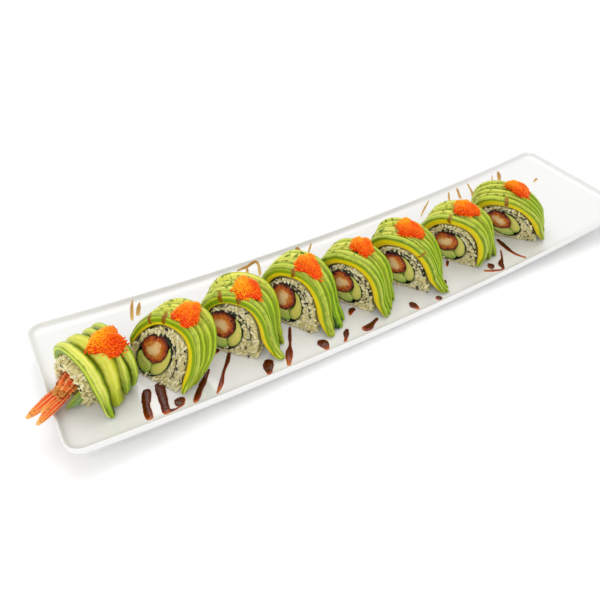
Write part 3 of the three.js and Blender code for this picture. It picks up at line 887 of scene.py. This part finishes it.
def make_wedge(piece):
    return make_stick(piece, AVOCADO_STICK)


cucumber_look = Look(
    "cucumber", 0.22, glow=(0.3, (0.6, 1.0, 0.4), 0.002), Coat_Weight=0.25, Coat_Roughness=0.1,
)
cucumber_rim, cucumber_skin = (cucumber_look.attribute(name) for name in ("rim", "skin"))
cucumber_edge = cucumber_look.calculate("MULTIPLY", cucumber_rim, cucumber_skin)
cucumber_rings = cucumber_look.ramp(cucumber_edge, [
    (0.0, 206, 212, 104), (0.50, 170, 198, 60), (0.72, 96, 156, 18), (0.90, 20, 62, 2),
    (1.0, 40, 110, 4),
])
cucumber_tone, cucumber_grain = cucumber_look.mottle(0.002, 0.0008, 1.0)
cucumber_patches = cucumber_look.mix(
    cucumber_tone, shade(130, 156, 40), shade(204, 212, 110),
)
cucumber_colour = cucumber_look.mix(0.35, cucumber_rings, cucumber_patches)
cucumber_material = cucumber_look.finish(cucumber_colour, cucumber_grain, 0.0003)

stick_look = Look("avocado_flesh", 0.35, glow=(0.25, (1.0, 0.9, 0.3), 0.002))
stick_rings = stick_look.ramp(stick_look.attribute("rim"), [
    (0.0, 226, 214, 104), (0.7, 206, 202, 84), (1.0, 150, 172, 52),
])
stick_tone, stick_grain = stick_look.mottle(0.003, 0.0008, 1.0)
stick_patches = stick_look.mix(stick_tone, shade(178, 172, 60), shade(232, 226, 140))
stick_colour = stick_look.mix(0.3, stick_rings, stick_patches)
stick_material = stick_look.finish(stick_colour, stick_grain, 0.0003)

finish_each(
    (make_cucumber, "cucumber_stick", cucumber_material, "cucumber", "cucumber"),
    (make_wedge, "avocado_wedge", stick_material, "avocado_stick", "avocado_stick"),
)

# ============================================================== avocado slices
# Half an avocado, cut across into thin crescents that keep their green outer rim,
# is fanned out, draped over the roll and pressed down. The slices overlap along
# the piece like shingles, and their ends lie down on the plate at the front.

PATH_STEPS = 240
SLICE_RINGS = 48
SLICE_SIDES = 24
SLICE_LOW = 3.0
SLICE_HIGH = 6.7
CREST_SKEW = 1.45
SLICE_MOTTLE = 0.26
# How far along the drape the painted light on the slices' tops fades out.
PAINTED_LIGHT_FADE = 0.22
END_ROUNDING = 0.06
FLARE_CURVE = 2.2
GATHER_START = 0.60
EDGE_RIPPLE = 2.6
SLICE_OVERLAP = 0.6
FRONT_SLICE_THICK = 5.8


def drape_path(piece, flare, back, toe):
    """The under side of a slice across the piece, evenly spaced, from back to front."""
    half = piece["width"] / 2 - SLICE_THICK
    height = piece["height"] - SLICE_THICK
    points = []
    for i in range(PATH_STEPS + 1):
        t = back + (1 - back) * i / PATH_STEPS
        across = signed_power(math.cos(math.pi * t), 2 / ARCH_POWER)
        up = height * abs(math.sin(math.pi * t)) ** (2 / ARCH_POWER)
        low = max(0.0, 1 - up / piece["flare_height"])
        spread = flare * low ** FLARE_CURVE if across < 0 else 0.0
        points.append(Vector((-half * across + spread, max(up, 0.5))))
    if toe > 0:
        end = points[-1]
        points += [end + Vector((toe * i / 12, 0.0)) for i in range(1, 13)]
    lengths = [0.0]
    for a, b in zip(points, points[1:]):
        lengths.append(lengths[-1] + (b - a).length)
    spaced = []
    k = 0
    for i in range(SLICE_RINGS + 1):
        want = lengths[-1] * i / SLICE_RINGS
        while k + 2 < len(points) and lengths[k + 1] < want:
            k += 1
        span = max(1e-6, lengths[k + 1] - lengths[k])
        spaced.append(points[k].lerp(points[k + 1], (want - lengths[k]) / span))
    return spaced


def slice_edge(piece, k, share):
    """Where the edge between two slices runs, along the piece, at a share of the drape."""
    count = piece["slices"]
    number = piece["number"]
    start, end = piece["start"], piece["length"]
    part = piece["cuts"][k]
    if 0 < k < count:
        ripple = EDGE_RIPPLE * wobble(2.6 * share, 1.7 * k, 0.4, number)
        ripple += 1.0 * wobble(7.0 * share, 1.7 * k, 2.4, number)
    else:
        ripple = 0.25 * wobble(4.0 * share, 3.0 * k, 5.2, number)
    top = start + (end - start) * part
    foot = piece["feet"][0] + (piece["feet"][1] - piece["feet"][0]) * part
    gathered = part_way(share, GATHER_START, 1) ** 1.3
    return top + (foot - top) * gathered + ripple * (1 - 0.4 * gathered)


def cut_slices(piece):
    """Settles how each slice of a piece is draped, from the near end on."""
    number = piece["number"]
    count = piece["slices"]
    if "cuts" not in piece:
        piece["cuts"] = [k / count for k in range(count + 1)]
        for k in range(1, count):
            piece["cuts"][k] += 0.20 / count * math.sin(2.4 * k * number + number)
    piece["drapes"] = []
    for k in range(count):
        rng = random.Random(1000 * number + k)
        order = k / (count - 1)
        flare = piece["flare"][0] + (piece["flare"][1] - piece["flare"][0]) * order
        flare *= rng.uniform(0.70, 1.20) if k else 1.05
        toe = rng.uniform(0.2, 1.0) * max(0.0, flare) * 0.4
        piece["drapes"].append(dict(
            path=drape_path(piece, flare, rng.uniform(0.03, 0.10), toe),
            lift=rng.uniform(-0.5, 0.5) if k else 0.0,
            tone=piece["ripeness"][k] if "ripeness" in piece else 0.6 * rng.random(),
            pallor=piece["pallors"][k] if "pallors" in piece else rng.uniform(0.55, 1.0),
        ))


def slice_point(piece, k, share, across, out):
    """A point of a slice: share runs over the roll, across along it, out through it."""
    number = piece["number"]
    drape = piece["drapes"][k]
    path = drape["path"]
    ring = min(SLICE_RINGS - 1e-6, max(0.0, share * SLICE_RINGS))
    low = int(ring)
    here = path[low].lerp(path[low + 1], ring - low)
    before, after = path[max(0, low - 1)], path[min(SLICE_RINGS, low + 2)]
    heading = (after - before).normalized()
    outwards = Vector((-heading.y, heading.x))
    taper = math.sqrt(max(0.0, 1 - (1 - min(1.0, min(share, 1 - share) / END_ROUNDING)) ** 2))
    across = 0.5 + (across - 0.5) * (0.35 + 0.65 * taper)
    near, far = slice_edge(piece, k, share), slice_edge(piece, k + 1, share)
    if k:
        near -= SLICE_OVERLAP
    rise = math.sin(math.pi * min(1.0, max(0.0, across)) ** CREST_SKEW) ** 0.65
    thick = SLICE_LOW + (SLICE_HIGH - SLICE_LOW) * rise
    if k == 0:
        thick = max(thick, FRONT_SLICE_THICK - 0.9 * part_way(across, 0.15, 0))
    thick += drape["lift"] + 0.75 * wobble(5 * share, 1.3 * k, 4.4, number)
    thick *= 1 - 0.5 * part_way(share, 0.78, 1) - 0.35 * part_way(share, 0.16, 0)
    thick *= 0.25 + 0.75 * taper
    dents = 0.30 * wobble(14 * share, 2.2 * across, 1.7 * k, number + 5)
    flat = here + outwards * (out * (thick + dents))
    return Vector((near + (far - near) * across, -flat.x, max(0.35, flat.y)))


def make_slice(piece, k):
    bm = closed_rod(SLICE_RINGS, SLICE_SIDES)
    names = ("across", "face", "tone", "front_slice", "pale", "marked")
    layers = {name: bm.verts.layers.float.new(name) for name in names}
    drape = piece["drapes"][k]
    for vert in bm.verts:
        ring = round(vert.co.z)
        share = ring / SLICE_RINGS
        across, out = 0.5, 0.5
        if 0 < ring < SLICE_RINGS:
            square = oval(math.atan2(vert.co.y, vert.co.x), (1.0, 1.0), 4.0)
            across, out = 0.5 + 0.5 * square[0], 0.5 + 0.5 * square[1]
        vert.co = slice_point(piece, k, share, across, out)
        at_top, at_foot = piece["yellow"]
        yellow = at_top + (at_foot - at_top) * part_way(share, 0.45, 0.70)
        face = 0.5 * out / yellow if out < yellow else 0.5 + 0.5 * (out - yellow) / (1 - yellow)
        vert[layers["across"]] = across
        vert[layers["face"]] = face + 0.4 * part_way(share, 0.86, 1) + 0.25 * max(0.0, 0.3 - share)
        vert[layers["tone"]] = drape["tone"]
        vert[layers["front_slice"]] = 1.0 if k == 0 else 0.0
        # Painted light: up to a share of the drape, each slice's top gets a paler, washed-out copy
        # of its colours; the first slice gets a small fixed amount unless levels are given.
        painted_light_to = piece["painted_light_to"]
        pale = drape["pallor"] * (1 - part_way(share, painted_light_to, painted_light_to + PAINTED_LIGHT_FADE))
        vert[layers["pale"]] = pale if k or "pallors" in piece else 0.35
        vert[layers["marked"]] = piece["marks"] * vert[layers["pale"]]
    return bm


avocado_look = Look(
    "avocado_slice", 0.42, glow=(0.08, (0.8, 1.0, 0.1), 0.001), Specular_IOR_Level=0.25,
)
avocado_across = avocado_look.attribute("across")
avocado_painted_light = avocado_look.attribute("pale")
avocado_tone, avocado_grain = avocado_look.mottle(0.0045, 0.0012, 1.0)
across_shift = avocado_look.calculate("ADD", avocado_across, -SLICE_MOTTLE / 2)
across_place = avocado_look.calculate(
    "MULTIPLY_ADD", avocado_tone, SLICE_MOTTLE, across_shift,
)
green_colour = avocado_look.ramp(across_place, [
    (0.0, 20, 44, 0), (0.13, 52, 88, 0), (0.25, 128, 166, 8), (0.35, 96, 136, 0),
    (0.48, 182, 212, 44),
    (0.58, 108, 156, 2), (0.68, 132, 174, 8), (0.78, 44, 84, 0), (0.92, 14, 36, 0),
])
# A paler copy of the slices' colours, painted on their tops as light falling there.
painted_light_colour = avocado_look.ramp(across_place, [
    (0.0, 50, 82, 0), (0.10, 126, 154, 22), (0.22, 228, 228, 116), (0.36, 208, 214, 78),
    (0.50, 240, 236, 128), (0.66, 196, 206, 60), (0.80, 90, 132, 4), (0.95, 30, 58, 0),
])
# The first slice's cut face: amber and yellow flesh inside and a green band by the skin; its last
# two stops are a painted highlight along the outer edge.
face_colour = avocado_look.ramp(avocado_look.attribute("face"), [
    (0.0, 184, 136, 8), (0.10, 224, 192, 14), (0.34, 228, 204, 4), (0.46, 208, 202, 6),
    (0.58, 112, 146, 0), (0.82, 108, 150, 0), (0.92, 210, 226, 60), (1.0, 222, 232, 90),
])
avocado_colour = avocado_look.mix(avocado_painted_light, green_colour, painted_light_colour)
avocado_patches, _ = avocado_look.mottle(0.0030, 0.002, 3.0)
patch_share = avocado_look.calculate(
    "MULTIPLY", avocado_look.step(avocado_patches, 0.64, 0.84),
    avocado_look.attribute("marked"),
)
avocado_colour = avocado_look.mix(patch_share, avocado_colour, shade(76, 112, 4))
on_front = avocado_look.calculate(
    "MULTIPLY", avocado_look.step(avocado_across, 0.14, 0.02),
    avocado_look.attribute("front_slice"),
)
avocado_colour = avocado_look.mix(on_front, avocado_colour, face_colour)
ripe = avocado_look.calculate("MULTIPLY", avocado_look.attribute("tone"), 0.45)
avocado_colour = avocado_look.mix(ripe, avocado_colour, shade(206, 202, 24))
avocado_material = avocado_look.finish(avocado_colour, avocado_grain, 0.0005, 0.8)

for piece in ROLL:
    number = piece["number"]
    cut_slices(piece)
    for k in range(piece["slices"]):
        finish_piece(
            make_slice(piece, k), f"avocado_slice_{number}_{k + 1}", avocado_material,
            piece_place(piece), [f"avocado_fan_{number}"], levels=1,
        )

# ======================================================================= masago
# Salted capelin roe, about a millimetre across and sticky with its own juice. A
# teaspoon of it sits on each piece as a lumpy heap with stray eggs round it.

EGG_RADIUS = 0.52
EGGS_IN_HEAP = 520
STRAY_EGGS = 60
RED_SPOT = Vector((0.1, 0.35))


def fan_top(piece, front):
    share = min(0.98, abs(2 * front / piece["width"]))
    return piece["height"] * (1 - share ** ARCH_POWER) ** (1 / ARCH_POWER)


def heap_point(piece, reach, angle):
    """A point on the heap's top: reach is 0 in its middle and 1 at its edge."""
    along, front, half_length, half_width, height = piece["masago"]
    number = piece["number"]
    lobes = 1 + 0.13 * math.sin(3 * angle + piece["x"]) + 0.09 * math.sin(5 * angle + piece["y"])
    x = along + half_length * reach * lobes * math.cos(angle)
    y = front + half_width * reach * lobes * math.sin(angle)
    lump = 1.0 * wobble(0.33 * x, 0.33 * y, 0.7, number) * (1 - reach ** 3)
    up = fan_top(piece, y) + (height + lump) * math.sqrt(max(0.0, 1 - reach ** 2.6))
    return Vector((x, -y, up))


def make_masago_core(piece):
    rings = 9
    profile = [(i / rings, 1.0) for i in range(rings + 1)]
    profile += [(i / rings, 0.0) for i in range(rings, -1, -1)]
    bm = spin_profile(profile, 28)

    def shape(reach, angle, layer):
        spot = heap_point(piece, 0.97 * reach, angle)
        if layer > 0.5:
            spot.z -= 0.35
        else:
            spot.z = fan_top(piece, -spot.y) - 0.5
        return spot

    warp(bm, shape)
    return bm


def make_masago_eggs(piece):
    rng = random.Random(500 + piece["number"])
    golden = math.pi * (3 - math.sqrt(5))
    places = []
    tones = []

    def add_egg(spot, tone):
        size = EGG_RADIUS * rng.uniform(0.82, 1.15)
        places.append(Matrix.Translation(spot) @ Matrix.Scale(size, 4))
        tones.append(tone)

    for i in range(EGGS_IN_HEAP):
        reach = math.sqrt((i + 0.5) / EGGS_IN_HEAP)
        reach = min(1.0, reach * (1 + 0.03 * rng.uniform(-1, 1)))
        angle = i * golden + rng.uniform(-0.08, 0.08)
        spot = heap_point(piece, reach, angle)
        spot.z += rng.uniform(-0.15, 0.30)
        # Painted light: eggs on the side of the heap towards the light are painted yellower, and
        # eggs round a spot to the front are redder.
        painted_lightness = 0.92 + (0.38 * math.cos(angle - piece["sunny_side"]) - 0.24) * reach
        from_spot = Vector((reach * math.cos(angle), reach * math.sin(angle))) - RED_SPOT
        red_spot = math.exp(-from_spot.length_squared / 0.10)
        add_egg(spot, part_way(0.85 * painted_lightness + 0.34 * rng.random() - 0.10 - 0.42 * red_spot, 0, 1))
    for _ in range(STRAY_EGGS):
        angle = rng.uniform(0, 2 * math.pi)
        reach = rng.uniform(0.85, 1.16)
        spot = heap_point(piece, min(reach, 0.99), angle)
        stretch = reach / min(reach, 0.99)
        along, front = piece["masago"][:2]
        spot.x = along + (spot.x - along) * stretch
        spot.y = -front + (spot.y + front) * stretch
        spot.z = fan_top(piece, -spot.y) + EGG_RADIUS * rng.uniform(0.3, 2.2)
        add_egg(spot, rng.random())
    bm = bmesh.new()
    bmesh.ops.create_icosphere(bm, subdivisions=2, radius=1.0)
    return repeat_shape(bm, places, "tone", tones)


masago_look = Look(
    "masago_egg", 0.34, glow=(0.15, (1.0, 0.45, 0.02), 0.0012), Specular_IOR_Level=0.18,
)
egg_colour = masago_look.ramp(masago_look.attribute("tone"), [
    (0.0, 226, 24, 0), (0.30, 248, 66, 0), (0.62, 255, 118, 0), (1.0, 255, 190, 0),
])
egg_tone, _ = masago_look.mottle(0.004, 0.0005, 1.2)
egg_patches = masago_look.mix(egg_tone, shade(236, 50, 0), shade(255, 160, 0))
masago_colour = masago_look.mix(0.25, egg_colour, egg_patches)
masago_material = masago_look.finish(masago_colour)
finish_each(
    (make_masago_core, "masago_core", masago_material, "masago", "masago"),
    (make_masago_eggs, "masago_eggs", masago_material, "masago", None),
)

# ================================================================= prawn's tail
# The shell of the prawn's last segment and its tail fan stick out of the raw end.
# Frying turned them red-orange; the fan's ribs show as pale streaks and its tips
# are pale. Crumbs of the batter cling where the shell leaves the rice.

TAIL_PARTS = [
    # each station: along, front, up, half its width, half its height
    dict(name="shell", ridges=9, depth=0.12, stations=[
        (1.5, -1.6, 12.0, 5.8, 5.2), (-2.5, -1.3, 11.4, 6.2, 5.2), (-6.5, -0.6, 10.5, 5.9, 4.4),
        (-10.5, 0.6, 9.3, 4.7, 3.2), (-14.5, 2.0, 8.3, 3.4, 2.1),
    ]),
    dict(name="left_lobe", ridges=8, depth=0.20, stations=[
        (-8.0, -0.6, 9.8, 2.6, 1.6), (-14.0, -0.4, 8.4, 3.0, 1.6), (-20.0, 0.2, 6.9, 2.9, 1.4),
        (-26.0, 0.8, 5.4, 2.2, 1.1), (-31.0, 1.2, 4.6, 0.8, 0.6),
    ]),
    dict(name="middle_rib", ridges=6, depth=0.20, stations=[
        (-8.0, 2.0, 10.5, 2.0, 1.4), (-13.0, 2.5, 9.1, 2.1, 1.4), (-18.5, 3.2, 7.7, 1.8, 1.1),
        (-24.5, 3.9, 6.2, 0.7, 0.6),
    ]),
    dict(name="right_lobe", ridges=8, depth=0.20, stations=[
        (-8.0, 3.6, 9.2, 2.4, 1.5), (-13.5, 4.4, 7.9, 2.9, 1.5), (-19.0, 5.5, 6.5, 2.8, 1.3),
        (-25.0, 7.1, 5.1, 2.0, 1.0), (-29.5, 8.2, 4.3, 0.8, 0.6),
    ]),
]


def smooth_stations(stations, steps):
    """Catmull-Rom points through the stations."""
    points = [stations[0], *stations, stations[-1]]
    smooth = []
    spans = len(stations) - 1
    for i in range(steps + 1):
        place = min(spans - 1e-6, spans * i / steps)
        k = int(place)
        t = place - k
        smooth.append([
            b + t / 2 * (c - a + t * (2 * a - 5 * b + 4 * c - d + t * (3 * (b - c) + d - a)))
            for a, b, c, d in zip(*points[k:k + 4])
        ])
    return smooth


def make_ribbed_rod(stations, ridges, depth, steps=34, sides=40):
    rings = smooth_stations(stations, steps)
    bm = closed_rod(steps, sides)
    along_layer = bm.verts.layers.float.new("lengthways")
    rib_layer = bm.verts.layers.float.new("rib")
    for vert in bm.verts:
        ring = round(vert.co.z)
        along, front, up, half_width, half_height = rings[ring]
        angle = math.atan2(vert.co.y, vert.co.x)
        rib = math.cos(ridges * angle + 0.6 * math.sin(0.35 * along))
        size = 1 + depth * rib
        size += 0.05 * wobble(along, 2 * math.cos(angle), 2 * math.sin(angle), ridges)
        if ring in (0, steps):
            size = 0.0
        elif ring in (1, steps - 1):
            size *= 0.72
        vert[along_layer] = ring / steps
        vert[rib_layer] = 0.5 + 0.5 * rib
        vert.co = (
            along,
            -(front + size * half_width * math.cos(angle)),
            up + size * half_height * math.sin(angle),
        )
    return bm


tail_look = Look(
    "prawn_shell", 0.38, glow=(0.12, (1.0, 0.3, 0.05), 0.001), Specular_IOR_Level=0.3,
)
tail_colour = tail_look.ramp(tail_look.attribute("lengthways"), [
    (0.0, 176, 22, 0), (0.30, 222, 52, 0), (0.62, 238, 100, 16), (0.82, 246, 160, 66),
    (1.0, 252, 214, 132),
])
tail_rib = tail_look.step(tail_look.attribute("rib"), 0.45, 1.0, 0.85)
tail_tone, tail_grain = tail_look.mottle(0.003, 0.0008, 1.4)
rib_colour = tail_look.mix(tail_tone, shade(232, 112, 30), shade(252, 206, 140))
tail_colour = tail_look.mix(tail_rib, tail_colour, rib_colour)
tail_material = tail_look.finish(tail_colour, tail_grain, 0.0004)

raw_end = ROLL[0]
for part in TAIL_PARTS:
    rod = make_ribbed_rod(part["stations"], part["ridges"], part["depth"])
    finish_piece(
        rod, f"prawn_tail_{part['name']}", tail_material,
        piece_place(raw_end), ["prawn_tail"],
    )


CRUMBS = 420


def make_crumbs():
    """Batter crumbs, thick on the shell and thin on the fan."""
    rng = random.Random(71)
    places = []
    for i in range(CRUMBS):
        on_shell = i % 3
        stations = TAIL_PARTS[0 if on_shell else rng.choice((1, 2, 3))]["stations"]
        rings = smooth_stations(stations, 60)
        ring = rng.randrange(16, 60) if on_shell else rng.randrange(52)
        along, front, up, half_width, half_height = rings[ring]
        angle = rng.uniform(0, 2 * math.pi)
        front += half_width * math.cos(angle)
        up += half_height * math.sin(angle)
        size = rng.uniform(0.35, 0.95) * (1.0 if on_shell else 0.55)
        sizes = [size * rng.uniform(*span) for span in ((0.7, 1.5), (0.7, 1.3), (0.6, 1.1))]
        axis = Vector((rng.random(), rng.random(), 1)).normalized()
        turn = Matrix.Rotation(rng.uniform(0, 6.28), 4, axis)
        spot = Matrix.Translation((along, -front, up))
        places.append(spot @ turn @ Matrix.Diagonal((*sizes, 1)))
    bm = bmesh.new()
    bmesh.ops.create_icosphere(bm, subdivisions=1, radius=1.0)
    return repeat_shape(bm, places, "rim", [rng.uniform(0.15, 0.82) for _ in places])


finish_piece(make_crumbs(), "tail_crumbs", crust_material, piece_place(raw_end))

# ======================================================== sesame and nori flecks
# Black sesame seeds and torn bits of nori stick to the rice of the cut faces and
# to the line where the rice meets the avocado.

NEAR_FACE_FLECKS = 17
FAR_FACE_FLECKS = 9


def make_flecks(piece):
    rng = random.Random(900 + piece["number"])
    places = []
    faces = ((-piece["bulge"], -1, NEAR_FACE_FLECKS), (piece["length"], 1, FAR_FACE_FLECKS))
    for along, outwards, count in faces:
        for _ in range(count):
            angle = rng.uniform(-0.9, 2.9)
            share = rng.choice((rng.uniform(0.15, 0.7), 0.97))
            front, up = rice_point(piece, angle, share, 0.6, along, 1.0)
            spot = Vector((along + outwards * 0.15, -front, up))
            heading = rng.uniform(0, math.pi)
            axis = Vector((0.15, math.cos(heading), math.sin(heading))).normalized()
            turn = axis.to_track_quat("Z", "X").to_matrix().to_4x4()
            size = rng.uniform(0.6, 1.15)
            scale = Matrix.Diagonal((0.35 * size, 0.55 * size, 1.15 * size, 1))
            places.append(Matrix.Translation(spot) @ turn @ scale)
    bm = bmesh.new()
    bmesh.ops.create_uvsphere(bm, u_segments=8, v_segments=5, radius=1.0)
    return repeat_shape(bm, places)


fleck_look = Look("sesame_black", 0.4)
fleck_tone, fleck_grain = fleck_look.mottle(0.001, 0.0004, 1.5)
fleck_colour = fleck_look.mix(fleck_tone, shade(10, 10, 10), shade(52, 44, 36))
fleck_material = fleck_look.finish(fleck_colour, fleck_grain, 0.0002)
finish_each((make_flecks, "sesame", fleck_material, "sesame", None))

# ======================================================================== sauce
# Sweet brown eel sauce, drizzled to and fro across the row from a bottle. It lies
# on the plate in front as fat drops and short runs, and behind as thin streaks.

# Each run is a list of stations on the plate: x, y and half the run's width there.
FRONT_RUNS = [
    [(-159.5, -24.5, 2.3), (-161.5, -29.5, 2.8), (-163.5, -35, 2.3), (-164.5, -42, 2.3),
     (-164.5, -45, 1.4)],
    [(-152.5, -23, 2.2), (-153.5, -30, 2.8), (-155, -39.5, 2.3), (-155.5, -43, 2.5),
     (-155.5, -45.5, 1.5)],
    [(-156, -43.5, 2), (-151, -44.3, 0.7), (-145.5, -43, 0.7)],
    [(-150, -40.5, 2.3), (-146.5, -41, 3.4), (-144.5, -42, 2)],
    [(-124, -26, 1.2), (-129, -32, 1.6), (-134.5, -38, 2), (-138.5, -43, 1.7), (-140.5, -45, 0.8)],
    [(-108.5, -20, 1.2), (-112, -25.5, 1.3), (-117.5, -32, 1), (-122.5, -39.5, 1.4),
     (-127.5, -45, 0.6)],
    [(-90.5, -36, 2.7), (-93.5, -40.5, 3.3), (-95, -44.5, 2), (-96.5, -46, 0.9)],
    [(-66.5, -18, 0.8), (-70.5, -25, 1.2), (-74, -31.5, 0.9), (-78, -37.5, 2.4), (-83, -46, 0.9)],
    [(-59, -38, 1.8), (-56, -40.5, 3.3), (-56.5, -46, 1.2)],
    [(-36.5, -37, 0.9), (-39, -39.5, 1.9), (-41.5, -43, 1.2), (-44, -45.5, 0.9)],
    [(-14.5, -38.5, 1.2), (-19.5, -40.5, 1.5), (-25, -42.5, 3), (-28.5, -41, 1.4)],
    [(10, -39, 1.9), (12, -40.5, 2.9), (13, -45.5, 0.8)],
    [(32.5, -45, 1.2), (30.5, -44, 2.3), (28.5, -44, 1.3)],
    [(46, -32.5, 0.7), (42, -36, 1.5), (38.5, -39.5, 0.7)],
    [(60.5, -18, 1.4), (56, -22.5, 0.7)],
    [(106, -18.5, 1.1), (105, -26, 2), (104.5, -36.5, 1.2), (108, -45.5, 0.8)],
    [(99.5, -29, 0.6), (94, -36, 0.8), (89, -40, 2.1), (86, -45, 0.8), (79.5, -42.5, 1.1),
     (74, -39, 1)],
    [(84, -38, 1.2), (81.5, -38, 3.4), (79.5, -37, 1.5)],
    [(-22, -24.5, 1.4), (-25, -24.5, 1.9), (-28.5, -28, 0.8)],
    [(-112.5, -14.5, 1.1), (-114.5, -15.5, 1.7), (-116.5, -17, 0.9)],
    [(21, -8.5, 0.9), (21.5, -11.5, 1.6), (22, -13.5, 0.9)],
]
BACK_RUNS = [
    [(-143.5, 48, 0.5), (-146, 42.5, 1.1), (-149.5, 31, 0.9)],
    [(-140, 45.5, 0.5), (-142.5, 40, 1.4), (-145, 34, 1.1)],
    [(-72, 46, 0.7), (-64.5, 46.5, 1.2), (-55.5, 47, 1), (-60, 34, 1)],
    [(-64, 46, 1.1), (-66.5, 40, 0.9)],
    [(-25, 47, 0.8), (-23, 47, 1.5), (-24, 43, 1.9)],
    [(-11.5, 47.5, 0.7), (-16, 42.5, 0.7), (-20, 38, 0.4)],
    [(96.5, 46, 0.4), (86, 39, 0.8), (77.5, 32.5, 0.5)],
    [(116.5, 46, 0.6), (109, 36.5, 1)],
    [(125.5, 46.5, 0.9), (118, 33.5, 1.2)],
    [(136.5, 46.5, 0.6), (131, 34.5, 1.1), (125.5, 26.5, 1.8)],
    [(161, 44, 0.4), (152, 35, 0.6)],
    [(168, 45, 0.9), (164.5, 40, 1.7), (159.5, 34.5, 1.2)],
    [(185.5, 19.5, 1.2), (179, 17, 0.5)],
]

# Each stain crosses a piece's first slice: piece, share of the drape, half width.
STAINS = [
    (2, 0.245, 1.1), (2, 0.335, 1.4), (3, 0.335, 1.3), (3, 0.44, 1.4), (4, 0.43, 1.3),
    (6, 0.60, 0.8), (7, 0.41, 1.2), (8, 0.50, 1.4),
]
STAIN_COURSE = [
    # across the slice and out through it
    (0.00, 0.30), (0.00, 0.62), (0.03, 0.92), (0.18, 1.0), (0.40, 1.0), (0.62, 1.0),
]

RUN_SIDES = 12
FADE_START = 0.45
STEPS_PER_SPAN = 10
STAIN_STEPS = 18


def add_run(bm, spots, widths, upwards, height, fade):
    """A run of sauce: a low rounded ridge along its spots, thin and clear at its far end."""
    steps = len(spots) - 1
    part = closed_rod(steps, RUN_SIDES)
    body_layer = part.verts.layers.float.new("body")
    for vert in part.verts:
        ring = round(vert.co.z)
        angle = math.atan2(vert.co.y, vert.co.x)
        heading = (spots[min(steps, ring + 1)] - spots[max(0, ring - 1)]).normalized()
        aside = upwards[ring].cross(heading).normalized()
        from_end = min(1.0, min(ring, steps - ring) / 2.6)
        size = widths[ring] * math.sqrt(1 - (1 - from_end) ** 2)
        bulge = max(0.0, math.sin(angle)) ** 0.8
        rise = bulge * height * size ** 0.6 if size else 0.0
        under = 0.1 if math.sin(angle) > -0.2 else -0.1
        vert[body_layer] = bulge * size ** 0.6 * (1 - fade * part_way(ring / steps, FADE_START, 1))
        vert.co = spots[ring] + aside * (size * math.cos(angle)) + upwards[ring] * (rise + under)
    bmesh.ops.recalc_face_normals(part, faces=part.faces)
    pour(bm, part)


def make_runs(runs, height, fade):
    bm = bmesh.new()
    for number, run in enumerate(runs):
        smooth = smooth_stations(run, STEPS_PER_SPAN * (len(run) - 1))
        spots, widths = [], []
        for i, (x, y, half_width) in enumerate(smooth):
            ragged = 1 + 0.18 * wobble(0.35 * i, 3.1 * number, 0.7)
            spots.append(Vector((x, y, plate_top(x, y))))
            widths.append(half_width * ragged)
        upwards = []
        for spot in spots:
            slope = (plate_top(spot.x, spot.y + 0.4) - plate_top(spot.x, spot.y - 0.4)) / 0.8
            upwards.append(Vector((0.0, -slope, 1.0)).normalized())
        add_run(bm, spots, widths, upwards, height, fade)
    return bm


def make_stains():
    bm = bmesh.new()
    for number, share, half_width in STAINS:
        piece = ROLL[number - 1]
        flat = to_metres.inverted() @ piece_place(piece)
        spots, asides, widths = [], [], []
        for i, (across, out) in enumerate(smooth_stations(STAIN_COURSE, STAIN_STEPS)):
            drift = share + 0.012 * wobble(0.3 * i, number, 1.3)
            spots.append(flat @ slice_point(piece, 0, drift, across, out))
            asides.append(flat @ slice_point(piece, 0, drift + 0.01, across, out) - spots[-1])
            widths.append(half_width * (1 + 0.35 * wobble(0.35 * i, 2.7 * number, share)))
        upwards = []
        heart = flat @ slice_point(piece, 0, share, 0.6, 0.2)
        for i, aside in enumerate(asides):
            heading = spots[min(STAIN_STEPS, i + 1)] - spots[max(0, i - 1)]
            outwards = heading.cross(aside).normalized()
            upwards.append(outwards if outwards.dot(spots[i] - heart) > 0 else -outwards)
        add_run(bm, spots, widths, upwards, 0.16, 0.8)
    return bm


def make_sauce_material(name, thin, middle, thick):
    look = Look(
        name, 0.22, glow=(0.08, (1.0, 0.25, 0.05), 0.0008), Coat_Weight=0.15, Coat_Roughness=0.08,
        Specular_IOR_Level=0.35,
    )
    stops = [(0.05, *thin), (0.50, *middle), (1.0, *thick)]
    depth_colour = look.ramp(look.attribute("body"), stops)
    tone, height = look.mottle(0.004, 0.002, 0.8)
    patches = look.mix(tone, shade(*thick), shade(*thin))
    return look.finish(look.mix(0.12, depth_colour, patches), height, 0.0002)


for name, bm, material_name, colours in (
    ("sauce_front", make_runs(FRONT_RUNS, 0.5, 0.9), "eel_sauce",
     ((206, 108, 24), (124, 30, 2), (62, 6, 0))),
    ("sauce_back", make_runs(BACK_RUNS, 0.3, 0.6), "eel_sauce_thin",
     ((228, 200, 130), (200, 156, 66), (166, 116, 34))),
    ("sauce_stains", make_stains(), "eel_sauce_stain",
     ((170, 152, 0), (158, 118, 0), (136, 86, 0))),
):
    sauce_material = make_sauce_material(material_name, *colours)
    finish_piece(bm, name, sauce_material, to_metres, levels=1)
